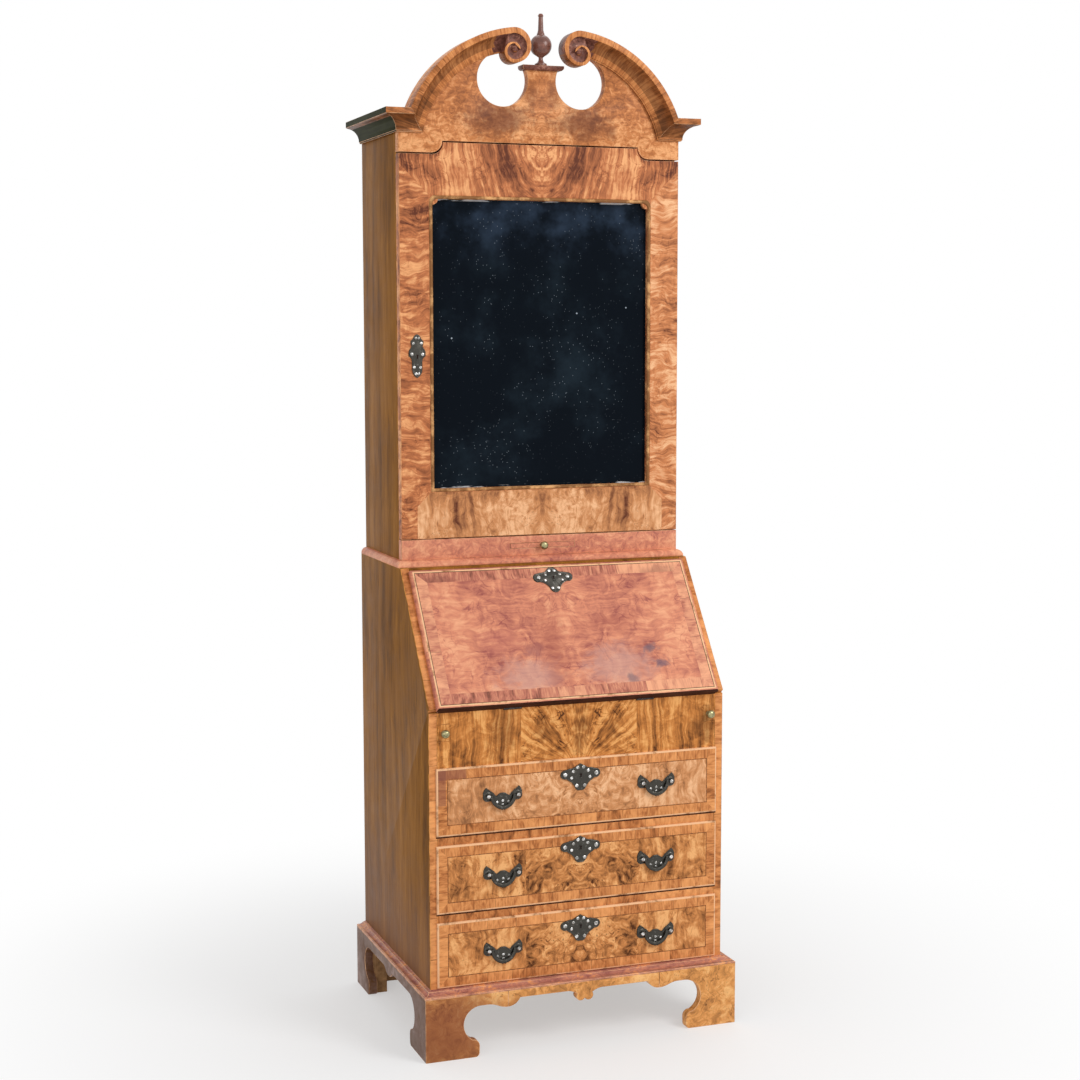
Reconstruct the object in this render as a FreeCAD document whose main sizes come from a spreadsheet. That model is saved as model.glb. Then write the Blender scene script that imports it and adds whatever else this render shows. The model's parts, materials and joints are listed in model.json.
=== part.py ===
"""Walnut bureau cabinet with a mirrored door, a sloping fall and three long drawers.

The frame has +X to the right of someone facing the front, +Y to the back and +Z up.
The origin lies on the floor under the middle of the plinth.
Places in depth are written as distances forward of the back plane.
"""
import FreeCAD, Part
import math
import os

import Sketcher
from FreeCAD import Placement, Rotation, Vector

# Driving sizes, in millimetres, by group
LOWER_CASE_SIZES = {
    "case_width": 680.0,
    "case_depth": 527.0,
    "foot_height": 130.5,
    "side_board": 19.0,
    "back_board": 12.0,
    "bottom_board": 17.5,
    "top_board": 19.0,
    "bottom_opening": 140.0,
    "middle_opening": 142.0,
    "top_opening": 141.0,
    "lower_rail": 25.0,
    "upper_rail": 26.0,
    "rail_depth": 40.0,
    "dustboard": 9.0,
    "frieze_height": 121.5,
    "frieze_board": 20.0,
    "fall_rise": 283.5,
    "ledge_margin": 14.0,
    "strip_forward": 3.0,
    "strip_rise": 8.5,
    "groove_rise": 1.0,
    "groove_back": 5.5,
}
PLINTH_SIZES = {
    "plinth_sideways": 21.0,
    "plinth_forward": 34.0,
    "plinth_board": 20.0,
    "plinth_cover": 7.0,
    "plinth_mould_height": 10.5,
    "foot_reach": 124.0,
    "arch_margin": 25.5,
    "side_arch_margin": 23.0,
    "rear_foot_reach": 108.0,
    "bracket_reach": 185.0,
    "apron_margin": 18.0,
    "side_lobe_set_back": 7.5,
    "side_lobe_half": 48.0,
    "side_lobe_drop": 12.5,
    "rear_bracket_width": 120.0,
    "rear_bracket_inset": 80.0,
    "rear_block_width": 27.0,
    "rear_block_depth": 92.0,
    "corner_block": 38.0,
}
DRAWER_SIZES = {
    "running_gap": 0.4,
    "drawer_side_gap": 1.0,
    "lip_overlap": 3.0,
    "lip_side_overlap": 4.0,
    "bottom_lip_rise": 2.5,
    "lip_thickness": 4.6,
    "lip_round": 4.0,
    "drawer_side": 9.0,
    "drawer_back": 8.0,
    "drawer_bottom": 6.0,
    "drawer_bottom_rise": 8.0,
    "drawer_stop_gap": 28.0,
    "lock_width": 60.0,
    "lock_height": 38.0,
    "lock_drop": 8.0,
    "lock_depth": 5.0,
}
HANDLE_SIZES = {
    "handle_inset": 143.0,
    "post_half": 33.5,
    "bail_drop": 30.0,
    "plate_thickness": 1.5,
    "post_radius": 4.2,
    "post_length": 11.0,
    "pin_forward": 5.5,
    "pin_radius": 1.5,
    "pin_clearance": 0.05,
    "pin_inset": 8.0,
    "pin_reach": 3.0,
    "bail_thickness": 5.0,
    "bottom_post_rise": 73.5,
    "middle_post_rise": 76.0,
    "top_post_rise": 77.7,
    "escutcheon_half": 46.0,
    "escutcheon_height": 58.5,
    "bottom_escutcheon_rise": 106.5,
    "middle_escutcheon_rise": 116.5,
    "top_escutcheon_rise": 108.0,
    "escutcheon_thickness": 1.5,
    "keyhole_radius": 2.4,
    "keyhole_width": 2.6,
    "keyhole_drop": 9.0,
    "knob_radius": 9.3,
    "knob_length": 19.5,
}
FALL_SIZES = {
    "fall_thickness": 19.0,
    "fall_top_gap": 5.4,
    "fall_side_overlap": 3.0,
    "fall_tongue_inset": 4.5,
    "fall_tongue_gap": 0.5,
    "strip_gap": 0.3,
    "fall_round": 5.0,
    "ledge_gap": 0.5,
    "fall_back_gap": 0.9,
    "axis_forward": 1.0,
    "fall_hinge_inset": 168.0,
    "fall_hinge_length": 40.0,
    "fall_knuckle": 2.5,
    "fall_leaf": 27.0,
    "leaf_thickness": 1.2,
    "hinge_pin": 1.2,
    "hinge_clearance": 0.06,
    "knuckle_gap": 0.4,
    "leaf_gap": 0.3,
    "fall_escutcheon_half": 46.5,
    "fall_escutcheon_height": 62.0,
    "fall_escutcheon_drop": 37.0,
    "fall_lock_width": 70.0,
    "fall_lock_height": 45.0,
    "fall_lock_depth": 4.0,
}
LOPER_SIZES = {
    "loper_side_gap": 2.0,
    "loper_thickness": 26.0,
    "loper_drop": 61.0,
    "loper_height": 36.0,
    "loper_length": 330.0,
    "loper_hole_gap": 0.5,
    "partition": 10.0,
    "partition_length": 357.0,
    "runner": 20.0,
}
DESK_SIZES = {
    "well_half": 150.0,
    "well_front_margin": 37.0,
    "well_length": 170.0,
    "cover_half": 160.0,
    "cover_thickness": 8.4,
    "channel_gap": 2.0,
    "channel_length": 350.0,
    "channel_depth": 9.0,
    "groove_half": 30.0,
    "groove_margin": 9.0,
    "groove_width": 6.0,
    "groove_depth": 3.0,
    "fitting_set_back": 36.0,
    "fitting_back": 20.0,
    "fitting_gap": 0.3,
    "fitting_floor": 6.2,
    "fitting_wall": 6.0,
    "divider": 5.0,
    "centre_half": 105.0,
    "inner_drawer_height": 52.0,
    "inner_drawer_gap": 1.0,
    "inner_drawer_back_gap": 8.0,
    "inner_front": 8.0,
    "inner_side": 5.0,
    "inner_bottom": 4.0,
    "inner_knob_radius": 5.0,
    "inner_knob_length": 10.0,
}
CABINET_SIZES = {
    "cabinet_side": 18.0,
    "cabinet_side_depth": 276.0,
    "cabinet_back_board": 10.0,
    "waist_height": 14.3,
    "waist_forward": 14.0,
    "waist_sideways": 11.7,
    "side_above_shoulder": 87.0,
    "frieze_rail_height": 44.2,
    "cabinet_board": 18.0,
    "cabinet_floor": 14.0,
    "shelf": 14.0,
    "shelf_set_back": 14.0,
    "lower_shelf_rise": 213.0,
    "shelf_spacing": 220.0,
}
SLIDE_SIZES = {
    "slide_half": 76.0,
    "slide_height": 11.0,
    "slide_level": 16.7,
    "slide_length": 200.0,
    "slide_gap": 0.5,
    "slide_ledge": 11.0,
    "slide_ledge_height": 8.0,
    "slide_runner": 12.0,
}
DOOR_SIZES = {
    "door_thickness": 22.0,
    "door_side_gap": 0.3,
    "door_gap": 0.5,
    "door_foot_gap": 1.5,
    "shoulder_height": 834.0,
    "shoulder_width": 76.0,
    "head_step": 25.5,
    "head_gap": 3.0,
    "head_side_gap": 2.6,
    "stile_width": 75.0,
    "bottom_rail_height": 110.0,
    "top_rail_height": 95.0,
    "sight_corner": 13.0,
    "rebate": 15.0,
    "rebate_depth": 11.8,
    "mirror_gap": 1.0,
    "mirror_thickness": 4.7,
    "mirror_bevel": 14.0,
    "mirror_edge": 3.2,
    "backboard_thickness": 6.0,
    "bead_width": 7.0,
    "bead_thickness": 3.0,
    "bead_chamfer": 2.0,
    "door_axis_out": 0.6,
    "door_knuckle": 2.3,
    "door_hinge_length": 60.0,
    "door_leaf": 18.0,
    "door_leaf_offset": 0.25,
    "lower_hinge_rise": 73.0,
    "middle_hinge_rise": 413.0,
    "upper_hinge_drop": 71.0,
    "door_escutcheon_inset": 38.0,
    "door_escutcheon_rise": 400.0,
    "door_escutcheon_half": 19.0,
    "door_escutcheon_height": 95.0,
    "door_lock_half_width": 17.0,
    "door_lock_half_height": 40.0,
    "door_lock_depth": 9.0,
}
PEDIMENT_SIZES = {
    "cornice_rise": 19.0,
    "cornice_height": 47.7,
    "cornice_projection": 39.5,
    "cornice_side_projection": 37.2,
    "neck_centre": 47.3,
    "neck_centre_drop": 52.9,
    "neck_end_angle": 7.7,
    "neck_foot_angle": 6.0,
    "hole_centre": 91.0,
    "hole_drop": 107.6,
    "hole_radius": 58.5,
    "tip_place": 106.0,
    "cap_half": 48.0,
    "cap_rise": 22.0,
    "cap_height": 10.0,
    "cap_forward": 12.0,
    "cap_round": 6.5,
    "volute_radius": 38.0,
    "volute_inset": 9.15,
    "volute_rise": 0.9,
    "band_width": 12.5,
    "band_height": 8.5,
    "eye_radius": 8.0,
    "eye_height": 6.0,
    "eye_inset": 2.0,
    "eye_drop": 44.5,
    "finial_radius": 24.0,
    "finial_height": 113.0,
    "finial_set_forward": 15.0,
}
WORKING_SIZES = {
    "overrun": 5.0,
    "bond": 0.01,
}
SIZE_GROUPS = (LOWER_CASE_SIZES, PLINTH_SIZES, DRAWER_SIZES, HANDLE_SIZES, FALL_SIZES, LOPER_SIZES,
               DESK_SIZES, CABINET_SIZES, SLIDE_SIZES, DOOR_SIZES, PEDIMENT_SIZES, WORKING_SIZES)

# Outlines as shares of the sizes they follow. A third number makes the side that arrives at the
# point an arc: it is the radius as a share of the chord, plus to the left and minus to the right.
QUARTER_SHARE = math.sqrt(0.5)
FOOT_SHARES = ((0, 0), (0.903, 0), (0.968, 0.089, 0.78), (0.972, 0.214), (0.844, 0.349, 0.69),
               (1, 1, -0.517))
FOOT_LOBE_SHARES = ((1.121, 1), (1.306, 0.955, -2.34), (1.492, 0.911, 2.34))
APRON_SHARES = ((-1, 0.854), (-0.844, 1, 0.93), (-0.25, 1), (-0.102, 0.933, -1.43),
                (-0.048, 0.799, 0.55), (0, 0.837, 1.06))
SIDE_LOBE_SHARES = ((-1, 0), (-0.5, -0.5, -1.2), (0, -1, 1.2), (0.5, -0.5, 1.2), (1, 0, -1.2))
DRAWER_ESCUTCHEON_SHARES = ((0, -0.586), (0.26, -0.5, 0.75), (0.352, -0.27), (0.491, -0.168, -0.8),
                            (0.72, -0.14), (1, 0, 0.66), (0.78, 0.19, 0.66), (0.522, 0.246),
                            (0.291, 0.287, -1.2), (0, 0.415))
DOOR_ESCUTCHEON_SHARES = ((0, -0.5), (0.605, -0.3, 0.9), (0.605, -0.121), (1, 0, -1), (1, 0.105),
                          (0.668, 0.221), (0.78, 0.34), (0.474, 0.4), (0, 0.5, 0.9))
FALL_ESCUTCHEON_SHARES = ((0, -0.581), (0.24, -0.45, 0.8), (0.3, -0.27), (0.43, -0.145, -0.8),
                          (0.72, -0.14), (1, 0.016, 0.66), (0.78, 0.2, 0.66), (0.602, 0.226),
                          (0.366, 0.25), (0.194, 0.387), (0, 0.419, 0.9))
HANDLE_PLATE_SHARES = ((0, -0.867), (0.716, -0.38, 0.95), (1.08, -0.4), (1.31, 0.02, 0.66),
                       (1.1, 0.6, 0.9), (0.8, 0.17), (0.6, -0.13), (0.299, 0.05), (0, 0.167, 1))
BAIL_SHARES = ((0, -1.017), (0.83, -0.133, 0.76), (0.83, 0.05), (0.765, 0.113), (0.7, 0.05),
               (0, -0.733, -0.75))
# Turned profiles from foot to tip, without their centre points
FINIAL_SHARES = ((0.56, 0), (0.56, 0.045), (0.2, 0.14, -0.8), (0.2, 0.165), (0.42, 0.198),
                 (1, 0.39, 0.9), (0.36, 0.59, 0.87), (0.36, 0.61), (0.24, 0.73, -2), (0.2, 0.938),
                 (0.27, 0.956), (0.2, 0.978), (0.08, 1, 0.75))
KNOB_SHARES = ((0.645, 0), (0.645, 0.077), (0.366, 0.231, -0.75), (0.366, 0.333), (1, 0.667, 0.75),
               (0.12, 1, 0.75))
POST_SHARES = ((1.15, 0), (1.15, 0.18), (1, 0.25), (1, 0.8), (0.2, 1))
EYE_SHARES = ((1, 0), (1, 0.4), (0.75, 0.8), (0.2, 1))
FINIAL_SIDES = 24
KNOB_SIDES = 12
POST_SIDES = 8
ROD_SIDES = 12
# Widest turn between two flats of a turned or swept profile, in radians
FLAT_TURN = 0.4
# Cornice section: shares of its projection and of its height
CORNICE_SHARES = ((0, 0), (0.139, 0), (0.139, 0.067), (0.182, 0.067), (0.873, 0.692, -0.74),
                  (1, 0.73), (1, 1), (0, 1))
PLINTH_MOULD_SHARES = ((0, 0), (1, 0), (1, 0.26), (0.86, 0.4), (0.3, 0.78, -0.9), (0.12, 0.86),
                       (0, 1))
# Radii of the quarter arcs of the scroll, as shares of the volute's radius
SCROLL_OUTER_SHARES = (0.975, 1, 0.6, 0.55, 0.4)
SCROLL_INNER_SHARES = (0.725, 0.7375, 0.45, 0.4375)
FORWARD = Rotation(Vector(1, 0, 0), 90)

doc = FreeCAD.newDocument("bureau_cabinet")
sheet = doc.addObject("Spreadsheet::Sheet", "sizes")


class Size:
    """A length or ratio with the sheet formula that it comes from."""

    def __init__(self, value, formula):
        self.value = float(value)
        self.formula = formula

    def __add__(self, other):
        other = size(other)
        return Size(self.value + other.value, "(%s + %s)" % (self.formula, other.formula))

    def __sub__(self, other):
        other = size(other)
        return Size(self.value - other.value, "(%s - %s)" % (self.formula, other.formula))

    def __mul__(self, other):
        other = size(other)
        return Size(self.value * other.value, "(%s * %s)" % (self.formula, other.formula))

    def __truediv__(self, other):
        other = size(other)
        return Size(self.value / other.value, "(%s / %s)" % (self.formula, other.formula))

    def __neg__(self):
        return Size(-self.value, "(0 - %s)" % self.formula)

    __radd__ = __add__
    __rmul__ = __mul__

    def __rsub__(self, other):
        return size(other) - self


def size(amount):
    """Turn a plain number into a Size and leave a Size as it is."""
    if isinstance(amount, Size):
        return amount
    return Size(amount, repr(float(amount)))


def hypotenuse(across, up):
    """Length of the straight line that goes across and up."""
    across, up = size(across), size(up)
    return Size(math.hypot(across.value, up.value), "sqrt(%s^2 + %s^2)" % (across.formula, up.formula))


def circle_reach(radius, aside):
    """How far a circle reaches from its centre along one axis, at a distance along the other."""
    return Size(math.sqrt(radius.value ** 2 - aside.value ** 2),
                "sqrt(%s^2 - %s^2)" % (radius.formula, aside.formula))


class NamedSizes:
    """Every driving size as a Size attribute."""


s = NamedSizes()
row = 0
for group in SIZE_GROUPS:
    for name, value in group.items():
        row += 1
        sheet.set("A%d" % row, name)
        sheet.set("B%d" % row, repr(value))
        sheet.setAlias("B%d" % row, name)
        setattr(s, name, Size(value, "sizes." + name))
doc.recompute()

# Planes and levels worked out from the driving sizes
case_half = s.case_width / 2
inner_half = case_half - s.side_board
plinth_half = case_half + s.plinth_sideways
plinth_depth = s.case_depth + s.plinth_forward
back = plinth_depth / 2
plinth_top = s.foot_height + s.plinth_cover
arch_height = plinth_top - s.arch_margin
side_arch_height = plinth_top - s.side_arch_margin
floor_level = s.foot_height + s.bottom_board
lower_rail_level = floor_level + s.bottom_opening
middle_level = lower_rail_level + s.lower_rail
upper_rail_level = middle_level + s.middle_opening
top_level = upper_rail_level + s.upper_rail
frieze_level = top_level + s.top_opening
bed_level = frieze_level + s.frieze_height
bureau_level = bed_level + s.fall_rise
frieze_back = s.case_depth - s.frieze_board
handle_place = inner_half - s.handle_inset
loper_outer = inner_half - s.loper_side_gap
loper_inner = loper_outer - s.loper_thickness
loper_level = bed_level - s.loper_drop

waist_level = bureau_level + s.waist_height
frieze_rail_top = waist_level + s.frieze_rail_height
cabinet_half = case_half - s.waist_sideways
cabinet_inner = cabinet_half - s.cabinet_side
cabinet_depth = s.cabinet_side_depth + s.door_thickness
door_foot = frieze_rail_top + s.door_foot_gap
door_back = s.cabinet_side_depth + s.door_gap
door_half = cabinet_half - s.door_side_gap
sight_half = door_half - s.stile_width
head_half = door_half - s.shoulder_width
shoulder_level = door_foot + s.shoulder_height
head_level = shoulder_level + s.head_step
cabinet_top_level = shoulder_level + s.side_above_shoulder
door_hinge_levels = (door_foot + s.lower_hinge_rise, door_foot + s.middle_hinge_rise,
                     shoulder_level - s.upper_hinge_drop)
door_escutcheon_place = door_half - s.door_escutcheon_inset
door_escutcheon_level = door_foot + s.door_escutcheon_rise

cornice_level = head_level + s.cornice_rise
neck_radius = cabinet_half - s.neck_centre
neck_centre_level = cornice_level - s.neck_centre_drop
mitre_top_place = s.neck_centre + circle_reach(neck_radius, s.cornice_height + s.neck_centre_drop)
mitre_foot_place = s.neck_centre + circle_reach(neck_radius - s.cornice_height, s.neck_centre_drop)
hole_level = neck_centre_level + neck_radius - s.hole_drop
cap_level = hole_level + s.cap_rise

top_ledge = cabinet_depth + s.waist_forward + s.ledge_margin
axis_depth = s.case_depth + s.axis_forward
slope_run = s.case_depth + s.strip_forward - top_ledge
slope_rise = s.fall_rise - s.strip_rise
slope_length = hypotenuse(slope_run, slope_rise)
strip_offset = ((s.strip_forward - s.axis_forward) * slope_rise + s.strip_rise * slope_run) / slope_length
slope_turn = Rotation(Vector(1, 0, 0), -math.degrees(math.atan2(slope_run.value, slope_rise.value)))
fall_length = slope_length - s.fall_top_gap
fall_tongue_length = fall_length - s.fall_tongue_inset
fall_lip_half = inner_half + s.fall_side_overlap


def on_slope(along, outward):
    """Depth and level of a point up the fall's inner face and out from it."""
    depth = axis_depth + (outward * slope_rise - along * slope_run) / slope_length
    level = bed_level + (along * slope_rise + outward * slope_run) / slope_length
    return depth, level


def slope_at(level, outward):
    """Depth of a plane parallel to the fall where it reaches a level."""
    return axis_depth - (level - bed_level) * slope_run / slope_rise + outward * slope_length / slope_rise


# Tools that draw and place the pieces
def bind(item, prop, amount):
    """Tie a property to the sheet by the formula of a Size."""
    item.setExpression(prop, size(amount).formula)


def scaled(shares, across, up, left=0, low=0):
    """Outline points from shares of two sizes, moved to a place."""
    points = []
    for point in shares:
        place = (across * point[0] + left, up * point[1] + low)
        points.append(place + tuple(point[2:]))
    return points


def with_mirror(half):
    """Close an outline whose first and last points lie on the upright axis of symmetry."""
    points = list(half)
    for i in range(len(half) - 1, 0, -1):
        arc = half[i][2:]
        if i > 1:
            points.append((-half[i - 1][0], half[i - 1][1]) + tuple(arc))
        elif arc:
            points[0] = (half[0][0], half[0][1]) + tuple(arc)
    return points


def rectangle(left, right, low, high):
    """Corners of a rectangle."""
    return [(left, low), (right, low), (right, high), (left, high)]


def arc_between(start, end, share):
    """Minor arc with its radius, for a radius given as a share of the chord."""
    x0, y0, x1, y1 = start[0].value, start[1].value, end[0].value, end[1].value
    chord = math.hypot(x1 - x0, y1 - y0)
    radius = abs(share) * chord
    rise = math.sqrt(radius * radius - chord * chord / 4) * math.copysign(1, share)
    cx = (x0 + x1) / 2 - rise * (y1 - y0) / chord
    cy = (y0 + y1) / 2 + rise * (x1 - x0) / chord
    first = math.atan2(y0 - cy, x0 - cx)
    last = math.atan2(y1 - cy, x1 - cx)
    if share < 0:
        first, last = last, first
    circle = Part.Circle(Vector(cx, cy, 0), Vector(0, 0, 1), radius)
    return Part.ArcOfCircle(circle, first, last)


def draw_loop(sketch, points):
    """Add one closed outline of lines and arcs, with every corner and radius tied to the sheet."""
    count = len(points)
    first_shape = sketch.GeometryCount
    first_rule = sketch.ConstraintCount
    shapes, rules, formulas, ends = [], [], [], []
    corners = [(size(p[0]), size(p[1])) for p in points]
    for i in range(count):
        start, end = corners[i], corners[(i + 1) % count]
        arc = points[(i + 1) % count][2:]
        if arc:
            shapes.append(arc_between(start, end, arc[0]))
            ends.append((1, 2) if arc[0] > 0 else (2, 1))
        else:
            shapes.append(Part.LineSegment(Vector(start[0].value, start[1].value, 0),
                                           Vector(end[0].value, end[1].value, 0)))
            ends.append((1, 2))
    for i in range(count):
        following = (i + 1) % count
        rules.append(Sketcher.Constraint("Coincident", first_shape + i, ends[i][1],
                                         first_shape + following, ends[following][0]))
        formulas.append(None)
    for i in range(count):
        for kind, amount in zip(("DistanceX", "DistanceY"), corners[i]):
            rules.append(Sketcher.Constraint(kind, -1, 1, first_shape + i, ends[i][0], amount.value))
            formulas.append(amount.formula)
        arc = points[(i + 1) % count][2:]
        if arc:
            end = corners[(i + 1) % count]
            radius = hypotenuse(end[0] - corners[i][0], end[1] - corners[i][1]) * abs(arc[0])
            rules.append(Sketcher.Constraint("Radius", first_shape + i, radius.value))
            formulas.append(radius.formula)
    sketch.addGeometry(shapes, False)
    sketch.addConstraint(rules)
    for i, formula in enumerate(formulas):
        if formula:
            sketch.setExpression("Constraints[%d]" % (first_rule + i), formula)


VIEW_PLANES = {"front": "XZ_Plane", "side": "YZ_Plane", "plan": "XY_Plane"}


def seen_from(view, loop):
    """Turn depths forward of the back into the sketch's own axis, which runs to the back."""
    if view == "side":
        return [(-size(p[0]), p[1]) + tuple(-a for a in p[2:]) for p in loop]
    if view == "plan":
        return [(p[0], -size(p[1])) + tuple(-a for a in p[2:]) for p in loop]
    return loop


def draw(body, view, loops, start):
    """Sketch on one of a body's own planes, moved forward, right or up by the start."""
    sketch = body.newObject("Sketcher::SketchObject", "Outline")
    plane = [item for item in body.Origin.OriginFeatures if item.Role == VIEW_PLANES[view]][0]
    sketch.AttachmentSupport = [(plane, "")]
    sketch.MapMode = "FlatFace"
    bind(sketch, "AttachmentOffset.Base.z", start)
    for loop in loops:
        draw_loop(sketch, seen_from(view, loop))
    return sketch


def new_body(name):
    """Empty body standing on the back plane."""
    body = doc.addObject("PartDesign::Body", name)
    bind(body, "Placement.Base.y", back)
    return body


def pad(body, view, loops, start, length):
    """Raise outlines by a length: forward in front view, right in side view, up in plan."""
    feature = body.newObject("PartDesign::Pad", "Pad")
    feature.Profile = draw(body, view, loops, start)
    bind(feature, "Length", length)
    return body


def prism(name, view, outline, start, length, *holes):
    """One board or plate cut to an outline, with any holes through it."""
    return pad(new_body(name), view, [outline] + list(holes), start, length)


def slab(name, left, right, rear, front, low, high):
    """Rectangular board between two planes on each axis."""
    box = doc.addObject("Part::Box", name)
    bind(box, "Length", size(right) - left)
    bind(box, "Width", size(front) - rear)
    bind(box, "Height", size(high) - low)
    bind(box, "Placement.Base.x", left)
    bind(box, "Placement.Base.y", back - front)
    bind(box, "Placement.Base.z", low)
    return box


def rod(name, radius, length, place, depth, level, turn=Rotation()):
    """Cylinder from a point along the turned upright axis."""
    item = doc.addObject("Part::Cylinder", name)
    bind(item, "Radius", radius)
    bind(item, "Height", length)
    return set_down(item, place, depth, level, turn)


def flat_rod(radius, length):
    """Small upright rod with flats round it."""
    item = doc.addObject("Part::Prism", "FlatRod")
    item.Polygon = ROD_SIDES
    bind(item, "Circumradius", radius)
    bind(item, "Height", length)
    return item


def set_down(item, place, depth, level, turn=Rotation()):
    """Turn an item and move its own origin to a place."""
    item.Placement = Placement(Vector(), turn)
    bind(item, "Placement.Base.x", place)
    bind(item, "Placement.Base.y", back - depth)
    bind(item, "Placement.Base.z", level)
    return item


def flattened(points):
    """Outline with each arc as chords, for what repeats and for forms that curve two ways."""
    result = []
    for i, point in enumerate(points):
        if len(point) > 2:
            result += chord_points(points[i - 1], point)
        result.append(point[:2])
    return result


def chord_points(start, end):
    """Points between the ends of an arc, each by its place along the chord and off it."""
    share = end[2]
    along, rise = size(end[0]) - start[0], size(end[1]) - start[1]
    turn = 2 * math.asin(0.5 / abs(share))
    count = math.ceil(turn / FLAT_TURN)
    points = []
    for i in range(1, count):
        angle = turn * (i / count - 0.5)
        way = 0.5 + abs(share) * math.sin(angle)
        bulge = share * (math.cos(angle) - math.cos(turn / 2))
        points.append((along * way + rise * bulge + start[0], rise * way - along * bulge + start[1]))
    return points


def turned(name, shares, sides, radius, length, place, depth, level, turn=Rotation()):
    """Piece turned about its own upright axis, with flats round it from ring to ring."""
    rings = []
    for reach, up in flattened(scaled(shares, radius, length)):
        angles = [math.tau * i / sides for i in range(sides)]
        rings.append([Vector(reach.value * math.cos(a), reach.value * math.sin(a), up.value)
                      for a in angles])
    outlines = [rings[0][::-1], rings[-1]]
    for lower, upper in zip(rings, rings[1:]):
        for i in range(sides):
            following = (i + 1) % sides
            outlines.append([lower[i], lower[following], upper[following], upper[i]])
    faces = [Part.Face(Part.makePolygon(outline + outline[:1])) for outline in outlines]
    item = doc.addObject("Part::Feature", name)
    item.Shape = Part.Solid(Part.Shell(faces))
    return set_down(item, place, depth, level, turn)


def join(*pieces):
    """Fuse pieces that are one solid."""
    item = doc.addObject("Part::MultiFuse", "Joined")
    item.Shapes = list(pieces)
    item.Refine = True
    return item


def cut(base, *tools):
    """Take tools away from a solid."""
    item = doc.addObject("Part::Cut", "Cut")
    item.Base = base
    item.Tool = tools[0] if len(tools) == 1 else join(*tools)
    return item


def mirrored(piece):
    """The same piece on the other side."""
    item = doc.addObject("Part::Mirroring", "Mirrored")
    item.Source = piece
    item.Base = Vector(0, 0, 0)
    item.Normal = Vector(1, 0, 0)
    return item


def ease_front(body, kind, prop, amount):
    """Round or chamfer the edges of a body's foremost face."""
    doc.recompute()
    base = body.Tip
    front = base.Shape.BoundBox.YMin + s.bond.value
    names = ["Edge%d" % (i + 1) for i, edge in enumerate(base.Shape.Edges)
             if edge.BoundBox.YMax < front]
    eased = body.newObject("PartDesign::" + kind, kind)
    eased.Base = (base, names)
    bind(eased, prop, amount)
    return body


nodes = []


def node(label, *pieces):
    """Name a sub-part. Several separate solids of one kind share a node."""
    item = pieces[0]
    if len(pieces) > 1:
        item = doc.addObject("Part::Compound", label)
        item.Links = list(pieces)
    item.Label = label
    nodes.append(item)
    return item


# Plinth: shaped brackets, apron, glue blocks and the moulding on them
def mitre(corner_place, corner_depth, outer_place, outer_depth, in_front):
    """Block over one side of a mitre in plan, from the inner to the outer corner of a moulding."""
    run = outer_place - corner_place
    reach = outer_depth - corner_depth
    inner = (corner_place - run, corner_depth - reach)
    outer = (outer_place + run, outer_depth + reach)
    if in_front:
        third = (inner[0], outer[1])
    else:
        third = (outer[0], inner[1])
    points = [inner, third, outer] if not in_front else [inner, outer, third]
    return prism("Mitre", "plan", points, 0, cabinet_top_level * 2)


def left_foot(reach, rise):
    """Outline of a bracket foot from its outer corner to the top of its arch."""
    return scaled(FOOT_SHARES, reach, rise)


def make_plinth():
    top = plinth_top
    inner = plinth_half - s.plinth_board
    front_inner = plinth_depth - s.plinth_board
    corner = (inner, front_inner, plinth_half, plinth_depth)

    foot = left_foot(s.foot_reach, arch_height)
    lobe = scaled(FOOT_LOBE_SHARES, s.foot_reach, arch_height)
    apron_half = plinth_half - s.bracket_reach
    outline = [(plinth_half - p[0], p[1]) + tuple(-a for a in p[2:]) for p in foot + lobe[:-1]]
    outline.append((apron_half, lobe[-1][1], -lobe[-1][2]))
    outline += [(apron_half, top), (plinth_half, top)]
    board = prism("Bracket", "front", outline, front_inner, s.plinth_board)
    bracket = cut(board, mitre(*corner, in_front=False))
    block = slab("CornerBlock", inner - s.corner_block, inner, front_inner - s.corner_block, front_inner,
                 0, s.foot_height)
    node("front_brackets", bracket, mirrored(bracket), block, mirrored(block))

    half = scaled(APRON_SHARES, apron_half, plinth_top - s.apron_margin)
    apron = [(-apron_half, top)] + half
    apron += [(-half[i - 1][0], half[i - 1][1]) + tuple(half[i][2:]) for i in range(len(half) - 1, 0, -1)]
    apron.append((apron_half, top))
    node("front_apron", prism("Apron", "front", apron, front_inner, s.plinth_board))

    front_foot = [(plinth_depth - p[0], p[1]) + tuple(-a for a in p[2:])
                  for p in left_foot(s.foot_reach, side_arch_height)]
    middle = scaled(SIDE_LOBE_SHARES, s.side_lobe_half, s.side_lobe_drop, back - s.side_lobe_set_back,
                    side_arch_height)
    middle = [(p[0], p[1]) + tuple(p[2:]) for p in middle]
    rear_foot = left_foot(s.rear_foot_reach, side_arch_height)
    arch = reversed_outline(front_foot)
    side_outline = rear_foot + middle + arch + [(plinth_depth, top), (0, top)]
    side = prism("SideBracket", "side", side_outline, inner, s.plinth_board)
    side = cut(side, mitre(*corner, in_front=True))
    node("side_brackets", side, mirrored(side))

    rear_outer = inner
    rear_inner = rear_outer - s.rear_bracket_width
    rear_points = [(rear_outer, 0), (rear_outer, s.foot_height), (rear_inner, s.foot_height),
                   (rear_inner, arch_height), (rear_outer - s.rear_bracket_inset, 0)]
    rear = prism("RearBracket", "front", rear_points, 0, s.plinth_board)
    rear_block = slab("GlueBlock", inner - s.rear_block_width, inner, s.plinth_board, s.rear_block_depth,
                      0, s.foot_height)
    node("rear_feet", rear, mirrored(rear), rear_block, mirrored(rear_block))


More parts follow.
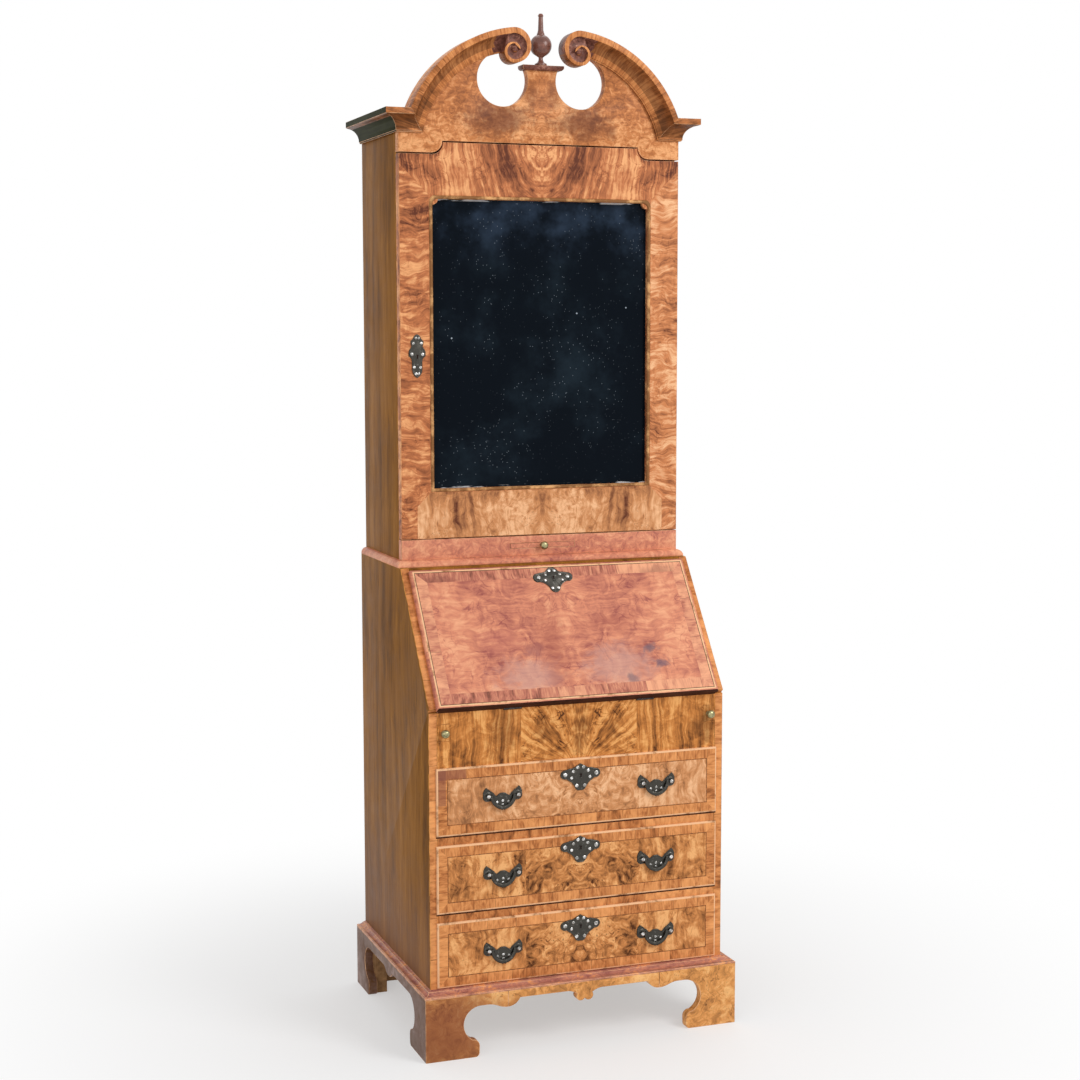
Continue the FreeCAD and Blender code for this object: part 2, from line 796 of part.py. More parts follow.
def reversed_outline(points):
    """The same line drawn from its other end."""
    result = []
    for i in range(len(points) - 1, -1, -1):
        arc = points[i + 1][2:] if i + 1 < len(points) else ()
        result.append((points[i][0], points[i][1]) + tuple(-a for a in arc))
    return result


def make_plinth_moulding():
    level = plinth_top
    rise = s.plinth_mould_height
    side_run = plinth_half - case_half
    front_run = plinth_depth - s.case_depth
    corner = (case_half, s.case_depth, plinth_half, plinth_depth)
    front = prism("FrontMoulding", "side",
                  scaled(PLINTH_MOULD_SHARES, front_run, rise, s.case_depth, level),
                  -plinth_half, plinth_half * 2)
    side_block = mitre(*corner, in_front=False)
    front = cut(front, side_block, mirrored(side_block))
    side = prism("SideMoulding", "front",
                 scaled(PLINTH_MOULD_SHARES, side_run, rise, case_half, level), 0, plinth_depth)
    side = cut(side, mitre(*corner, in_front=True))
    node("plinth_moulding", front, side, mirrored(side))


# Lower case
def make_lower_case():
    groove = bed_level + s.groove_rise
    outline = [(0, s.foot_height), (s.case_depth, s.foot_height), (s.case_depth, groove),
               (s.case_depth - s.groove_back, groove),
               (s.case_depth + s.strip_forward, bed_level + s.strip_rise),
               (top_ledge, bureau_level), (0, bureau_level)]
    right = prism("SideBoard", "side", outline, inner_half, s.side_board)
    node("bureau_side_right", right)
    node("bureau_side_left", mirrored(right))
    node("bureau_bottom", slab("Bottom", -inner_half, inner_half, s.back_board, s.case_depth,
                               s.foot_height, floor_level))
    under_top = bureau_level - s.top_board
    boards = []
    board_width = inner_half * 2 / 3
    for i in range(3):
        left = -inner_half + board_width * i
        boards.append(slab("BackBoard", left, left + board_width, 0, s.back_board, s.foot_height,
                           under_top))
    node("bureau_back", *boards)

    rail_back = s.case_depth - s.rail_depth
    pieces = []
    for low, high in ((lower_rail_level, middle_level), (upper_rail_level, top_level)):
        pieces.append(slab("Rail", -inner_half, inner_half, rail_back, s.case_depth, low, high))
        pieces.append(slab("Dustboard", -inner_half, inner_half, s.back_board, rail_back,
                           high - s.dustboard, high))
    pieces.append(slab("WellFloor", -inner_half, inner_half, s.back_board, frieze_back, frieze_level,
                       frieze_level + s.dustboard))
    node("drawer_dividers", *pieces)

    left, right = loper_inner - s.loper_hole_gap, loper_outer + s.loper_hole_gap
    low = loper_level
    hole = rectangle(left, right, low - s.loper_hole_gap, low + s.loper_height + s.loper_hole_gap)
    other = rectangle(-right, -left, low - s.loper_hole_gap, low + s.loper_height + s.loper_hole_gap)
    panel = prism("Frieze", "front", rectangle(-inner_half, inner_half, frieze_level, bed_level),
                  frieze_back, s.frieze_board, hole, other)
    node("frieze_panel", cut(panel, *fall_barrel_notches()))

    rebate = on_slope(fall_tongue_length + s.ledge_gap, -s.fall_back_gap)
    lip_seat = on_slope(fall_tongue_length + s.ledge_gap, strip_offset)
    top_outline = [(0, under_top), (slope_at(under_top, -s.fall_back_gap), under_top), rebate, lip_seat,
                   (top_ledge, bureau_level), (0, bureau_level)]
    node("bureau_top", prism("Top", "side", top_outline, -inner_half, inner_half * 2))


def make_loper_guides():
    well_floor = frieze_level + s.dustboard
    under_bed = bed_level - s.side_board
    rear = frieze_back - s.partition_length
    inner = loper_inner - s.loper_hole_gap
    low = loper_level - s.running_gap
    high = loper_level + s.loper_height + s.running_gap
    pieces = [slab("Partition", inner - s.partition, inner, rear, frieze_back, well_floor, under_bed),
              slab("Runner", inner, inner_half, rear, frieze_back, low - s.runner, low),
              slab("Kicker", inner, inner_half, rear, frieze_back, high, under_bed)]
    node("loper_guides", *(pieces + [mirrored(piece) for piece in pieces]))


def make_lopers():
    low = loper_level
    bar = slab("Loper", loper_inner, loper_outer, s.case_depth - s.loper_length, s.case_depth, low,
               low + s.loper_height)
    centre = (loper_inner + loper_outer) / 2
    for label, place in (("loper_right", centre), ("loper_left", -centre)):
        knob = turned("LoperKnob", KNOB_SHARES, KNOB_SIDES, s.knob_radius, s.knob_length, place, s.case_depth,
                      low + s.loper_height / 2, FORWARD)
        node(label, bar if label == "loper_right" else mirrored(bar), knob)


def well_channel():
    """Rear and front of the channel in the writing bed."""
    front = frieze_back - s.well_front_margin
    return front - s.channel_length, front


def make_desk():
    under_bed = bed_level - s.side_board
    rear, front = well_channel()
    bed = slab("Bed", -inner_half, inner_half, s.back_board, frieze_back, under_bed, bed_level)
    opening = slab("WellOpening", -s.well_half, s.well_half, front - s.well_length, front,
                   under_bed - s.overrun, bed_level)
    channel_half = s.cover_half + s.channel_gap
    channel = slab("Channel", -channel_half, channel_half, rear, front, bed_level - s.channel_depth,
                   bed_level + s.overrun)
    node("writing_bed", cut(bed, opening, channel, *fall_leaf_recesses()))

    low = bed_level - s.channel_depth + s.running_gap
    cover = slab("Cover", -s.cover_half, s.cover_half, front - s.well_length, front - s.running_gap, low,
                 low + s.cover_thickness)
    groove_front = front - s.groove_margin
    groove = slab("FingerGroove", -s.groove_half, s.groove_half, groove_front - s.groove_width,
                  groove_front, low + s.cover_thickness - s.groove_depth, bed_level + s.overrun)
    node("well_cover", cut(cover, groove))


def fitting_levels():
    """Levels of the desk fitting: floor top, shelf bottom, shelf top and underside of its top board."""
    floor_top = bed_level + s.fitting_gap + s.fitting_floor
    shelf = floor_top + s.inner_drawer_height + s.inner_drawer_gap * 2
    top = bureau_level - s.top_board - s.fitting_gap - s.fitting_wall
    return floor_top, shelf, shelf + s.fitting_wall, top


def make_pigeonholes():
    floor_top, shelf, shelf_top, under_top = fitting_levels()
    half = inner_half
    rear, front = s.fitting_back, top_ledge - s.fitting_set_back
    pieces = [slab("FittingFloor", -half, half, rear, front, bed_level + s.fitting_gap, floor_top),
              slab("FittingTop", -half, half, rear, front, under_top, under_top + s.fitting_wall)]
    outer = s.centre_half + s.fitting_wall
    wing = [slab("CentreWall", s.centre_half, outer, rear, front, floor_top, under_top),
            slab("FittingShelf", outer, half, rear, front, shelf, shelf_top)]
    bay = (half - outer - s.divider * 2) / 3
    for i in (1, 2):
        left = outer + bay * i + s.divider * (i - 1)
        wing.append(slab("Divider", left, left + s.divider, rear, front, shelf_top, under_top))
    node("pigeonholes", *(pieces + wing + [mirrored(piece) for piece in wing]))


def make_inner_drawers():
    floor_top, shelf = fitting_levels()[:2]
    left = s.centre_half + s.fitting_wall + s.inner_drawer_gap
    right = inner_half - s.inner_drawer_gap
    low = floor_top + s.running_gap
    high = low + s.inner_drawer_height
    front = top_ledge - s.fitting_set_back
    rear = s.fitting_back + s.inner_drawer_back_gap
    side, board = s.inner_side, s.inner_front
    pieces = [slab("InnerFront", left, right, front - board, front, low, high),
              slab("InnerSide", left, left + side, rear, front - board, low, high),
              slab("InnerSide", right - side, right, rear, front - board, low, high),
              slab("InnerBack", left + side, right - side, rear, rear + side, low, high),
              slab("InnerBottom", left + side, right - side, rear + side, front - board, low,
                   low + s.inner_bottom)]
    centre = (left + right) / 2
    for label, place in (("inner_drawer_right", centre), ("inner_drawer_left", -centre)):
        knob = turned("InnerKnob", KNOB_SHARES, KNOB_SIDES, s.inner_knob_radius, s.inner_knob_length,
                      place, front, (low + high) / 2, FORWARD)
        boards = pieces if label == "inner_drawer_right" else [mirrored(piece) for piece in pieces]
        node(label, *(boards + [knob]))


# Long drawers
def keyhole(name, place, level, start, length):
    """Keyhole cutter through a plate at the front: a round hole over a slot."""
    hole = rod("KeyholeTop", s.keyhole_radius, length, place, start, level, FORWARD)
    half = s.keyhole_width / 2
    slot = slab("KeyholeSlot", size(place) - half, size(place) + half, start, start + length,
                level - s.keyhole_drop, level)
    return hole, slot


def make_drawer(name, low, opening, lip_low, post_level, escutcheon_level):
    bottom = low + s.running_gap
    top = low + opening - s.running_gap
    half = inner_half - s.drawer_side_gap
    body = prism("DrawerFront", "front", rectangle(-half, half, bottom, top), frieze_back,
                 s.frieze_board + s.running_gap)
    lip_half = inner_half + s.lip_side_overlap
    lip_back = s.case_depth + s.running_gap
    lip_high = low + opening + s.lip_overlap
    pad(body, "front", [rectangle(-lip_half, lip_half, lip_low, lip_high)], lip_back, s.lip_thickness)
    node(name + "_front", ease_front(body, "Fillet", "Radius", s.lip_round))

    rear = s.drawer_stop_gap + s.back_board
    side, rise = s.drawer_side, s.drawer_bottom_rise
    node(name + "_box",
         slab("DrawerSide", -half, side - half, rear, frieze_back, bottom, top),
         slab("DrawerSide", half - side, half, rear, frieze_back, bottom, top),
         slab("DrawerBack", side - half, half - side, rear, rear + s.drawer_back, bottom, top),
         slab("DrawerBottom", side - half, half - side, rear + s.drawer_back, frieze_back,
              bottom + rise, bottom + rise + s.drawer_bottom))

    face = lip_back + s.lip_thickness
    outline = scaled(DRAWER_ESCUTCHEON_SHARES, s.escutcheon_half, s.escutcheon_height, 0,
                     escutcheon_level)
    plate = prism("Escutcheon", "front", flattened(with_mirror(outline)), face, s.escutcheon_thickness)
    plate = cut(plate, *keyhole("Keyhole", 0, escutcheon_level, face - s.overrun,
                                s.overrun * 2 + s.escutcheon_thickness))
    lock = slab("Lock", -s.lock_width / 2, s.lock_width / 2, frieze_back - s.lock_depth, frieze_back,
                top - s.lock_drop - s.lock_height, top - s.lock_drop)
    pieces = [plate, lock]
    for place in (handle_place, -handle_place):
        pieces.append(handle_plate(place, post_level, face))
    node(name + "_mounts", *pieces)
    for side_name, place in (("left", -handle_place), ("right", handle_place)):
        node("%s_bail_%s" % (name, side_name), bail(place, post_level, face))


def handle_plate(place, level, face):
    """Solid backplate with the two posts whose cross holes carry the bail."""
    outline = with_mirror(scaled(HANDLE_PLATE_SHARES, s.post_half, s.bail_drop, 0, level))
    plate = prism("HandlePlate", "front", flattened(shifted(outline, place)), face, s.plate_thickness)
    front = face + s.plate_thickness
    posts = []
    for post_place in (place - s.post_half, place + s.post_half):
        posts.append(turned("Post", POST_SHARES, POST_SIDES, s.post_radius, s.post_length, post_place,
                            front - s.bond, level, FORWARD))
    bore_half = s.post_half + s.post_radius * 2
    bore = rod("PostBore", s.pin_radius + s.pin_clearance, bore_half * 2, place - bore_half,
               front + s.pin_forward, level, Rotation(Vector(0, 1, 0), 90))
    return cut(join(plate, *posts), bore)


def shifted(outline, across):
    """Outline moved sideways."""
    return [(p[0] + across, p[1]) + tuple(p[2:]) for p in outline]


def bail(place, level, face):
    """Crescent bail with a pin at each end."""
    axis = face + s.plate_thickness + s.pin_forward
    outline = with_mirror(scaled(BAIL_SHARES, s.post_half, s.bail_drop, 0, level))
    crescent = prism("Bail", "front", flattened(shifted(outline, place)), axis - s.bail_thickness / 2,
                     s.bail_thickness)
    inner = s.post_half - s.pin_inset
    outer = s.post_half + s.pin_reach
    pins = []
    for start in (place - outer, place + inner):
        pins.append(set_down(flat_rod(s.pin_radius, outer - inner), start, axis, level,
                             Rotation(Vector(0, 1, 0), 90)))
    return join(crescent, *pins)


def make_drawers():
    bottom_lip = floor_level + s.bottom_lip_rise
    make_drawer("bottom_drawer", floor_level, s.bottom_opening, bottom_lip,
                floor_level + s.bottom_post_rise, floor_level + s.bottom_escutcheon_rise)
    make_drawer("middle_drawer", middle_level, s.middle_opening, middle_level - s.lip_overlap,
                middle_level + s.middle_post_rise, middle_level + s.middle_escutcheon_rise)
    make_drawer("top_drawer", top_level, s.top_opening, top_level - s.lip_overlap,
                top_level + s.top_post_rise, top_level + s.top_escutcheon_rise)


# Hinges: each leaf is drawn with its axis upright, reaching along +X and let in along +Y
def hinge_leaf(reach, length, offset, knuckle, spans, pinned):
    """Leaf with the knuckles on the given spans of its length, and the pin if it carries it."""
    clear = knuckle + s.knuckle_gap
    pieces = [local_box(clear, reach, offset, offset + s.leaf_thickness, 0, length)]
    for low, high in spans:
        pieces.append(local_box(0, clear, offset, offset + s.leaf_thickness, low, high))
        barrel = flat_rod(knuckle, high - low)
        bind(barrel, "Placement.Base.z", low)
        pieces.append(barrel)
    if pinned:
        return join(*(pieces + [local_rod(s.hinge_pin, 0, length)]))
    bore = local_rod(s.hinge_pin + s.hinge_clearance, -s.overrun, length + s.overrun)
    return cut(join(*pieces), bore)


def local_box(left, right, rear, front, low, high):
    """Box in a hinge's own frame."""
    box = doc.addObject("Part::Box", "LeafBox")
    bind(box, "Length", size(right) - left)
    bind(box, "Width", size(front) - rear)
    bind(box, "Height", size(high) - low)
    bind(box, "Placement.Base.x", left)
    bind(box, "Placement.Base.y", rear)
    bind(box, "Placement.Base.z", low)
    return box


def local_rod(radius, low, high):
    """Cylinder on a hinge's own axis."""
    item = doc.addObject("Part::Cylinder", "Knuckle")
    bind(item, "Radius", radius)
    bind(item, "Height", size(high) - low)
    bind(item, "Placement.Base.z", low)
    return item


def knuckle_spans(length):
    """Spans of the fixed and of the moving knuckles along a hinge."""
    third = length / 3
    gap = s.knuckle_gap / 2
    return ((size(0), third - gap), (third * 2 + gap, length)), ((third + gap, third * 2 - gap),)


def seated(leaf, along, into, place, depth, level):
    """A leaf turned so that it reaches along one direction and is let in along another."""
    across = along.cross(into)
    return set_down(holder(leaf), place, depth, level, Rotation(along, into, across, "ZXY"))


def holder(piece):
    """Carry a joined piece so that it can be turned and moved."""
    item = doc.addObject("Part::Compound", "Held")
    item.Links = [piece]
    return item


SLOPE_UP = slope_turn.multVec(Vector(0, 0, 1))
SLOPE_OUT = slope_turn.multVec(Vector(0, -1, 0))
DOWN, TO_BACK, TO_FRONT, TO_LEFT = Vector(0, 0, -1), Vector(0, 1, 0), Vector(0, -1, 0), Vector(-1, 0, 0)


def fall_hinge_starts():
    """Left ends of the two hinges of the fall."""
    place = inner_half - s.fall_hinge_inset
    half = s.fall_hinge_length / 2
    return (-place - half, place - half)


def fall_barrel_notches():
    """Clearance cut round the barrels of the fall's hinges."""
    notches = []
    for start in fall_hinge_starts():
        notches.append(rod("BarrelNotch", s.fall_knuckle + s.leaf_gap * 2,
                           s.fall_hinge_length + s.leaf_gap * 2, start - s.leaf_gap, axis_depth, bed_level,
                           Rotation(Vector(0, 1, 0), 90)))
        notches.append(slab("LeafSeat", start, start + s.fall_hinge_length, frieze_back - s.overrun,
                            axis_depth, bed_level - s.leaf_thickness, bed_level + s.overrun))
    return notches


def fall_leaf_recesses():
    """Seats let into the writing bed for the fixed leaves."""
    return [slab("LeafSeat", start, start + s.fall_hinge_length, axis_depth - s.fall_leaf,
                 frieze_back + s.overrun, bed_level - s.leaf_thickness, bed_level + s.overrun)
            for start in fall_hinge_starts()]


def make_hinge_plates():
    pieces = []
    fixed = knuckle_spans(s.fall_hinge_length)[0]
    for start in fall_hinge_starts():
        leaf = hinge_leaf(s.fall_leaf, s.fall_hinge_length, size(0), s.fall_knuckle, fixed, True)
        pieces.append(seated(leaf, TO_BACK, DOWN, start + s.fall_hinge_length, axis_depth, bed_level))
    fixed = knuckle_spans(s.door_hinge_length)[0]
    for level in door_hinge_levels:
        leaf = hinge_leaf(s.door_leaf, s.door_hinge_length, s.door_leaf_offset, s.door_knuckle, fixed,
                          True)
        pieces.append(seated(leaf, TO_LEFT, TO_BACK, door_half + s.door_axis_out, door_axis_depth(),
                             level + s.door_hinge_length / 2))
    node("hinge_plates", *pieces)


def door_axis_depth():
    """Depth of the door's hinge axis, midway between the door and the case."""
    return s.cabinet_side_depth + s.door_leaf_offset


# Fall, built upright against its inner face and then leant back to the slope
def make_fall():
    tongue_half = inner_half - s.fall_tongue_gap
    lip_start = strip_offset + s.strip_gap
    body = prism("Fall", "front", rectangle(-tongue_half, tongue_half, 0, fall_tongue_length), 0,
                 lip_start)
    pad(body, "front", [rectangle(-fall_lip_half, fall_lip_half, 0, fall_length)], lip_start,
        s.fall_thickness - lip_start)
    ease_front(body, "Fillet", "Radius", s.fall_round)
    set_down(body, 0, axis_depth, bed_level, slope_turn)
    notches = []
    for start in fall_hinge_starts():
        notches.append(rod("BarrelNotch", s.fall_knuckle + s.leaf_gap * 2,
                           s.fall_hinge_length + s.leaf_gap * 2, start - s.leaf_gap, axis_depth, bed_level,
                           Rotation(Vector(0, 1, 0), 90)))
        seat = local_box(0, s.fall_hinge_length, -s.leaf_thickness, s.leaf_thickness, -s.overrun,
                         s.fall_leaf)
        notches.append(set_down(holder(seat), start, axis_depth, bed_level, slope_turn))
    lock_half = s.fall_lock_width / 2
    lock_low = fall_tongue_length - s.fall_lock_height
    seat = local_box(-lock_half, lock_half, -s.fall_lock_depth, s.fall_lock_depth, lock_low,
                     fall_tongue_length + s.overrun)
    notches.append(set_down(holder(seat), 0, axis_depth, bed_level, slope_turn))
    node("fall_board", cut(body, *notches))

    level = fall_length - s.fall_escutcheon_drop
    outline = scaled(FALL_ESCUTCHEON_SHARES, s.fall_escutcheon_half, s.fall_escutcheon_height, 0, level)
    plate = prism("FallEscutcheon", "front", flattened(with_mirror(outline)), s.fall_thickness,
                  s.escutcheon_thickness)
    bind(plate, "Placement.Base.y", 0)
    plate = cut(plate, *upright_keyhole(level, s.fall_thickness))
    node("fall_escutcheon", set_down(holder(plate), 0, axis_depth, bed_level, slope_turn))

    lock = local_box(-lock_half, lock_half, -s.fall_lock_depth, size(0), lock_low, fall_tongue_length)
    pieces = [set_down(holder(lock), 0, axis_depth, bed_level, slope_turn)]
    moving = knuckle_spans(s.fall_hinge_length)[1]
    for start in fall_hinge_starts():
        leaf = hinge_leaf(s.fall_leaf, s.fall_hinge_length, size(0), s.fall_knuckle, moving, False)
        pieces.append(seated(leaf, SLOPE_UP, SLOPE_OUT, start, axis_depth, bed_level))
    node("fall_ironwork", *pieces)


def upright_keyhole(level, start):
    """Keyhole cutter in a frame that is still to be leant back."""
    length = s.escutcheon_thickness + s.overrun * 2
    hole = prism("KeyholeTop", "front", rectangle(-s.keyhole_radius, s.keyhole_radius, level,
                                                  level + s.keyhole_radius * 2), start - s.overrun, length)
    half = s.keyhole_width / 2
    slot = prism("KeyholeSlot", "front", rectangle(-half, half, level - s.keyhole_drop, level),
                 start - s.overrun, length)
    for item in (hole, slot):
        bind(item, "Placement.Base.y", 0)
    return hole, slot


# Waist moulding and upper case
def make_waist():
    low, high = bureau_level, waist_level
    reach = s.waist_forward / s.waist_sideways
    rear = cabinet_depth - s.cabinet_side * reach
    front_outline = [(rear, low), (cabinet_depth + s.waist_forward, low),
                     (cabinet_depth, high, QUARTER_SHARE), (rear, high)]
    outer = cabinet_half + s.waist_sideways
    corner = (cabinet_half, cabinet_depth, outer, cabinet_depth + s.waist_forward)
    side_block = wide_mitre(*corner, in_front=False)
    front = cut(prism("WaistFront", "side", front_outline, -outer, outer * 2), side_block,
                mirrored(side_block))
    side_outline = [(cabinet_inner, low), (outer, low), (cabinet_half, high, QUARTER_SHARE),
                    (cabinet_inner, high)]
    side = prism("WaistSide", "front", side_outline, 0, cabinet_depth + s.waist_forward)
    side = cut(side, wide_mitre(*corner, in_front=True))
    node("waist_moulding", front, side, mirrored(side))


def wide_mitre(corner_place, corner_depth, outer_place, outer_depth, in_front):
    """Mitre block that also reaches inwards past the thickness of the carcase side."""
    run = (outer_place - corner_place) * 2
    reach = (outer_depth - corner_depth) * 2
    return mitre(outer_place - run, outer_depth - reach, outer_place, outer_depth, in_front)


def make_cabinet():
    top = cabinet_top_level
    side = slab("CabinetSide", cabinet_inner, cabinet_half, 0, s.cabinet_side_depth, waist_level, top)
    notches = []
    for level in door_hinge_levels:
        low = level - s.door_hinge_length / 2
        high = level + s.door_hinge_length / 2
        notches.append(slab("LeafSeat", door_half - s.door_leaf, cabinet_half + s.overrun,
                            door_axis_depth() - s.door_leaf_offset - s.leaf_thickness,
                            cabinet_depth, low, high))
        notches.append(rod("BarrelNotch", s.door_knuckle + s.leaf_gap * 2, s.door_hinge_length,
                           door_half + s.door_axis_out, door_axis_depth(), low))
    node("cabinet_side_right", cut(side, *notches))
    plain = slab("CabinetSide", -cabinet_half, -cabinet_inner, 0, s.cabinet_side_depth, waist_level, top)
    node("cabinet_side_left", plain)

    rear, front = s.cabinet_back_board, s.cabinet_side_depth
    floor_low = frieze_rail_top - s.cabinet_floor + s.door_gap
    floor = slab("CabinetFloor", -cabinet_inner, cabinet_inner, rear, front, floor_low,
                 floor_low + s.cabinet_floor)
    roof = slab("CabinetTop", -cabinet_inner, cabinet_inner, rear, front, top - s.cabinet_board, top)
    slide_low = waist_level + s.slide_level
    ledge_top = slide_low - s.running_gap
    slide_rear = cabinet_depth - s.slide_length
    inner = s.slide_half + s.slide_gap
    runner = slab("SlideRunner", inner, inner + s.slide_runner, slide_rear, front,
                  ledge_top - s.slide_ledge_height, floor_low)
    ledge = slab("SlideLedge", inner - s.slide_ledge, inner, slide_rear, front,
                 ledge_top - s.slide_ledge_height, ledge_top)
    guide = join(runner, ledge)
    node("cabinet_top_and_floor", floor, roof, guide, mirrored(guide))
    boards = []
    width = cabinet_inner * 2 / 3
    for i in range(3):
        left = -cabinet_inner + width * i
        boards.append(slab("CabinetBack", left, left + width, 0, rear, waist_level, top))
    node("cabinet_back", *boards)
    shelves = []
    for i in range(3):
        level = door_foot + s.lower_shelf_rise + s.shelf_spacing * i
        shelves.append(slab("Shelf", -cabinet_inner, cabinet_inner, rear, front - s.shelf_set_back, level,
                            level + s.shelf))
    node("cabinet_shelves", *shelves)

    slot_half = s.slide_half + s.slide_gap * 2
    slot = rectangle(-slot_half, slot_half, slide_low - s.slide_gap,
                     slide_low + s.slide_height + s.slide_gap)
    rail = prism("FriezeRail", "front",
                 rectangle(-cabinet_half, cabinet_half, waist_level, frieze_rail_top), front,
                 cabinet_depth - front, slot)
    node("frieze_rail", rail)
    board = slab("Slide", -s.slide_half, s.slide_half, slide_rear, cabinet_depth, slide_low,
                 slide_low + s.slide_height)
    knob = turned("SlideKnob", KNOB_SHARES, KNOB_SIDES, s.knob_radius, s.knob_length, 0, cabinet_depth,
                  slide_low + s.slide_height / 2, FORWARD)
    node("candle_slide", board, knob)


# Door
def make_door():
    foot, sight_low = door_foot, door_foot + s.bottom_rail_height
    sight_high = shoulder_level - s.top_rail_height
    rebate_front = door_back + s.rebate_depth
    front = cabinet_depth
    seat = sight_half + s.rebate

    section = [(sight_half, rebate_front), (seat, rebate_front), (seat, door_back),
               (door_half, door_back), (door_half, front), (sight_half, front)]
    stile = prism("Stile", "plan", section, foot, s.shoulder_height)
    notches = []
    for level in door_hinge_levels:
        low = level - s.door_hinge_length / 2
        notches.append(slab("LeafSeat", door_half - s.door_leaf, door_half + s.overrun,
                            s.cabinet_side_depth, door_axis_depth() + s.door_leaf_offset + s.leaf_thickness,
                            low, low + s.door_hinge_length))
        notches.append(rod("BarrelNotch", s.door_knuckle + s.leaf_gap * 2, s.door_hinge_length,
                           door_half + s.door_axis_out, door_axis_depth(), low))
    right_stile = cut(stile, *notches)
    left_stile = mirrored(stile)

    low_face = prism("BottomRail", "front", rectangle(-sight_half, sight_half, foot, sight_low),
                     rebate_front, front - rebate_front)
    low_back = prism("BottomRail", "front",
                     rectangle(-sight_half, sight_half, foot, sight_low - s.rebate), door_back,
                     s.rebate_depth)
    corner = s.sight_corner
    head_inner = head_half - s.head_step
    half = [(sight_half, sight_high - corner), (sight_half, shoulder_level),
            (head_half, shoulder_level), (head_inner, head_level, -QUARTER_SHARE)]
    face = [(sight_half - corner, sight_high, -QUARTER_SHARE)]
    outline = with_sides(half, face)
    top_face = prism("TopRail", "front", outline, rebate_front, front - rebate_front)
    back_half = [(sight_half, sight_high + s.rebate)] + half[1:]
    top_back = prism("TopRail", "front", with_sides(back_half, []), door_back, s.rebate_depth)
    node("door_frame", right_stile, left_stile, join(low_face, low_back), join(top_face, top_back))

    outer_half = sight_half + s.bead_width
    outer = arched(outer_half, sight_low - s.bead_width, sight_high + s.bead_width, corner)
    inner = arched(sight_half, sight_low, sight_high, corner)
    bead = prism("Bead", "front", outer, front, s.bead_thickness, inner)
    node("mirror_bead", ease_front(bead, "Chamfer", "Size", s.bead_chamfer))

    plate_half = seat - s.mirror_gap
    low = sight_low - s.rebate + s.mirror_gap
    high = sight_high + s.rebate - s.mirror_gap
    node("mirror_plate", bevelled_plate(plate_half, low, high, rebate_front - s.mirror_thickness))
    board_front = rebate_front - s.mirror_thickness - s.running_gap
    node("door_backboard", slab("Backboard", -plate_half, plate_half, board_front - s.backboard_thickness,
                                board_front, low, high))
    outline = scaled(DOOR_ESCUTCHEON_SHARES, s.door_escutcheon_half, s.door_escutcheon_height, 0,
                     door_escutcheon_level)
    plate = prism("DoorEscutcheon", "front",
                  flattened(shifted(with_mirror(outline), -door_escutcheon_place)), front,
                  s.escutcheon_thickness)
    node("door_escutcheon", cut(plate, *keyhole("Keyhole", -door_escutcheon_place,
                                                door_escutcheon_level + s.keyhole_drop,
                                                front - s.overrun,
                                                s.overrun * 2 + s.escutcheon_thickness)))
    make_door_ironwork()


def with_sides(half, face):
    """Outline of a rail from the right half of its ends and of its lower edge."""
    right = face + half if not face else [(face[0][0], face[0][1])] + [half[0] + (QUARTER_SHARE,)] + half[1:]
    left = []
    for i in range(len(right) - 1, -1, -1):
        arc = right[i + 1][2:] if i + 1 < len(right) else ()
        left.append((-right[i][0], right[i][1]) + tuple(arc))
    return right + left


def arched(half, low, high, corner):
    """Sight outline: square below, with rounded corners at the top."""
    return [(-half, low), (half, low), (half, high - corner), (half - corner, high, QUARTER_SHARE),
            (corner - half, high), (-half, high - corner, QUARTER_SHARE)]


def bevelled_plate(half, low, high, rear):
    """Plate with a wide bevel all round its front."""
    flat = slab("MirrorEdge", -half, half, rear, rear + s.mirror_edge, low, high)
    item = doc.addObject("Part::Wedge", "MirrorBevel")
    bevel = s.mirror_bevel
    rise = s.mirror_thickness - s.mirror_edge
    for prop, amount in (("Xmin", -half), ("Xmax", half), ("Zmin", 0), ("Zmax", high - low), ("Ymin", 0),
                         ("Ymax", rise), ("X2min", bevel - half), ("X2max", half - bevel),
                         ("Z2min", bevel), ("Z2max", high - low - bevel)):
        bind(item, prop, amount)
    set_down(item, 0, rear + s.mirror_edge, low, Rotation(Vector(0, 0, 1), 180))
    return join(flat, item)


def make_door_ironwork():
    lock_rear = s.cabinet_side_depth + s.door_leaf_offset * 2
    place = -door_escutcheon_place
    level = door_escutcheon_level
    moving = knuckle_spans(s.door_hinge_length)[1]
    pieces = []
    for hinge_level in door_hinge_levels:
        leaf = hinge_leaf(s.door_leaf, s.door_hinge_length, s.door_leaf_offset, s.door_knuckle, moving,
                          False)
        pieces.append(seated(leaf, TO_LEFT, TO_FRONT, door_half + s.door_axis_out, door_axis_depth(),
                             hinge_level - s.door_hinge_length / 2))
    lock = slab("DoorLock", place - s.door_lock_half_width, place + s.door_lock_half_width,
                lock_rear - s.door_lock_depth, lock_rear, level - s.door_lock_half_height,
                level + s.door_lock_half_height)
    pieces.append(lock)
    node("door_ironwork", *pieces)


# Pediment
def cornice_section(projection, left, low):
    """Section of the cornice, from its lower inner corner."""
    return scaled(CORNICE_SHARES, projection, s.cornice_height, left, low)


